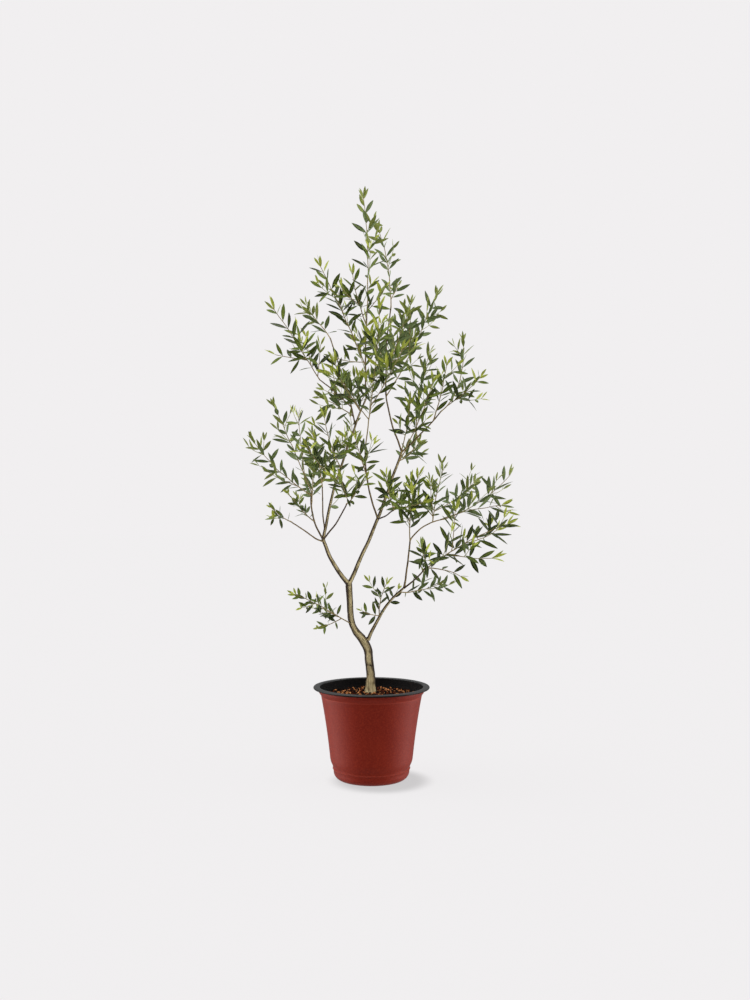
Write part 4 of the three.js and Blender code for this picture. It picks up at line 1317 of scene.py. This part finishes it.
def lit_acrylic():
    """Opal acrylic, cast matt and lit from within: even, with no edge, and a painted shadow round the pot's
    foot.
    """
    acrylic, tree, shader = surface("lit_acrylic", "#363636", Roughness=1, Specular_IOR_Level=0)
    shader.inputs["Emission Color"].default_value = linear(BACKDROP)
    place = add(tree, "ShaderNodeTexCoord", {}).outputs["Object"]
    middle = (PAINTED_SHADOW["across"] * MM, PAINTED_SHADOW["back"] * MM, 0)
    away = add(tree, "ShaderNodeVectorMath", {0: place, 1: middle}, operation="DISTANCE").outputs["Value"]
    # The glow dims round the pot's foot: a painted shadow
    glow = add(tree, "ShaderNodeMapRange", {
        "Value": away,
        "From Min": PAINTED_SHADOW["inner"] * MM,
        "From Max": PAINTED_SHADOW["outer"] * MM,
        "To Min": FLOOR_GLOW - PAINTED_SHADOW["depth"],
        "To Max": FLOOR_GLOW,
    }, interpolation_type="SMOOTHERSTEP")
    tree.links.new(glow.outputs["Result"], shader.inputs["Emission Strength"])
    return acrylic


def make_floor():
    """A wide matt floor, which lights nothing and isn't mirrored."""
    deselect()
    bpy.ops.mesh.primitive_plane_add(size=80)
    floor = bpy.context.object
    floor.name = "floor"
    floor.data.materials.append(lit_acrylic())
    floor.visible_diffuse = False
    floor.visible_glossy = False


def make_studio():
    """An even pale backdrop, and soft light from each side, from above and a little from below."""
    world = bpy.data.worlds.new("studio")
    bpy.context.scene.world = world
    world.use_nodes = True
    tree = world.node_tree
    tree.nodes.clear()
    way = add(tree, "ShaderNodeTexCoord", {}).outputs["Generated"]
    parts = add(tree, "ShaderNodeSeparateXYZ", {"Vector": way})
    sideways = add(tree, "ShaderNodeMath", {0: parts.outputs["X"]}, operation="ABSOLUTE")
    part_of = {"sideways": sideways.outputs[0], "up": parts.outputs["Z"]}
    strength = 0.0
    for box in LIGHT_BOXES:
        glow = add(tree, "ShaderNodeMapRange", {
            "Value": part_of[box["part"]],
            "From Min": box["span"][0],
            "From Max": box["span"][1],
            "To Min": box["strength"][0],
            "To Max": box["strength"][1],
        }, interpolation_type="SMOOTHSTEP")
        strength = add(tree, "ShaderNodeMath", {0: strength, 1: glow.outputs["Result"]}).outputs[0]
    light = add(tree, "ShaderNodeBackground", {"Color": linear("#ffffff"), "Strength": strength})
    plain = add(tree, "ShaderNodeBackground", {"Color": linear(BACKDROP), "Strength": 1})
    seen = add(tree, "ShaderNodeLightPath", {}).outputs["Is Camera Ray"]
    both = add(tree, "ShaderNodeMixShader", {0: seen, 1: light.outputs[0], 2: plain.outputs[0]})
    add(tree, "ShaderNodeOutputWorld", {"Surface": both.outputs[0]})
    bpy.context.scene.view_settings.view_transform = "Standard"


def make_key_light():
    """A broad light from above, a little to the left."""
    light = bpy.data.objects.new("key_light", bpy.data.lights.new("key_light", "SUN"))
    bpy.context.scene.collection.objects.link(light)
    light.data.energy = KEY_LIGHT["strength"]
    light.data.angle = math.radians(KEY_LIGHT["spread"])
    light.rotation_euler = Vector(KEY_LIGHT["way"]).to_track_quat("Z", "Y").to_euler()


def main():
    noise.seed_set(KINK_SEED)
    make_camera()
    make_floor()
    make_studio()
    make_key_light()
    make_pot_wall(red_polypropylene())
    make_pot_lining(black_polypropylene(), splashed_polypropylene())
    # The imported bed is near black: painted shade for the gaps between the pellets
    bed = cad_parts["growing_medium"]
    bed.data.materials.clear()
    bed.data.materials.append(fired_clay("clay_bed_painted_shade", "#0c0604", "#1e100a"))
    # The orange pellets' pale colour is partly painted highlight
    make_pellets([
        fired_clay("fired_clay_brown", "#200a03", "#6a2a08"),
        fired_clay("fired_clay_orange", "#64290a", "#e29d62"),
        fired_clay("fired_clay_dark", "#080403", "#1e0f09"),
    ])
    limbs = plan_limbs()
    # Each bark's colours are its painted shade, its own colour, and its pale streaks, which also give the
    # painted highlight
    make_trunk(limbs, olive_bark("olive_trunk_bark", "#261709", "#76643e", "#d4c294", 3.5))
    make_boughs(limbs, olive_bark("olive_bough_bark", "#29190b", "#6d5630", "#a38c5c", 2))
    stem_bark = olive_bark("olive_stem_bark", "#3b2d18", "#6f5c38", "#8d7b50", 1.5)
    twig_bark = olive_bark("olive_green_twig", "#55502a", "#7d7c4a", "#94955f", 1.5)
    make_foliage(limbs, stem_bark, twig_bark)


main()
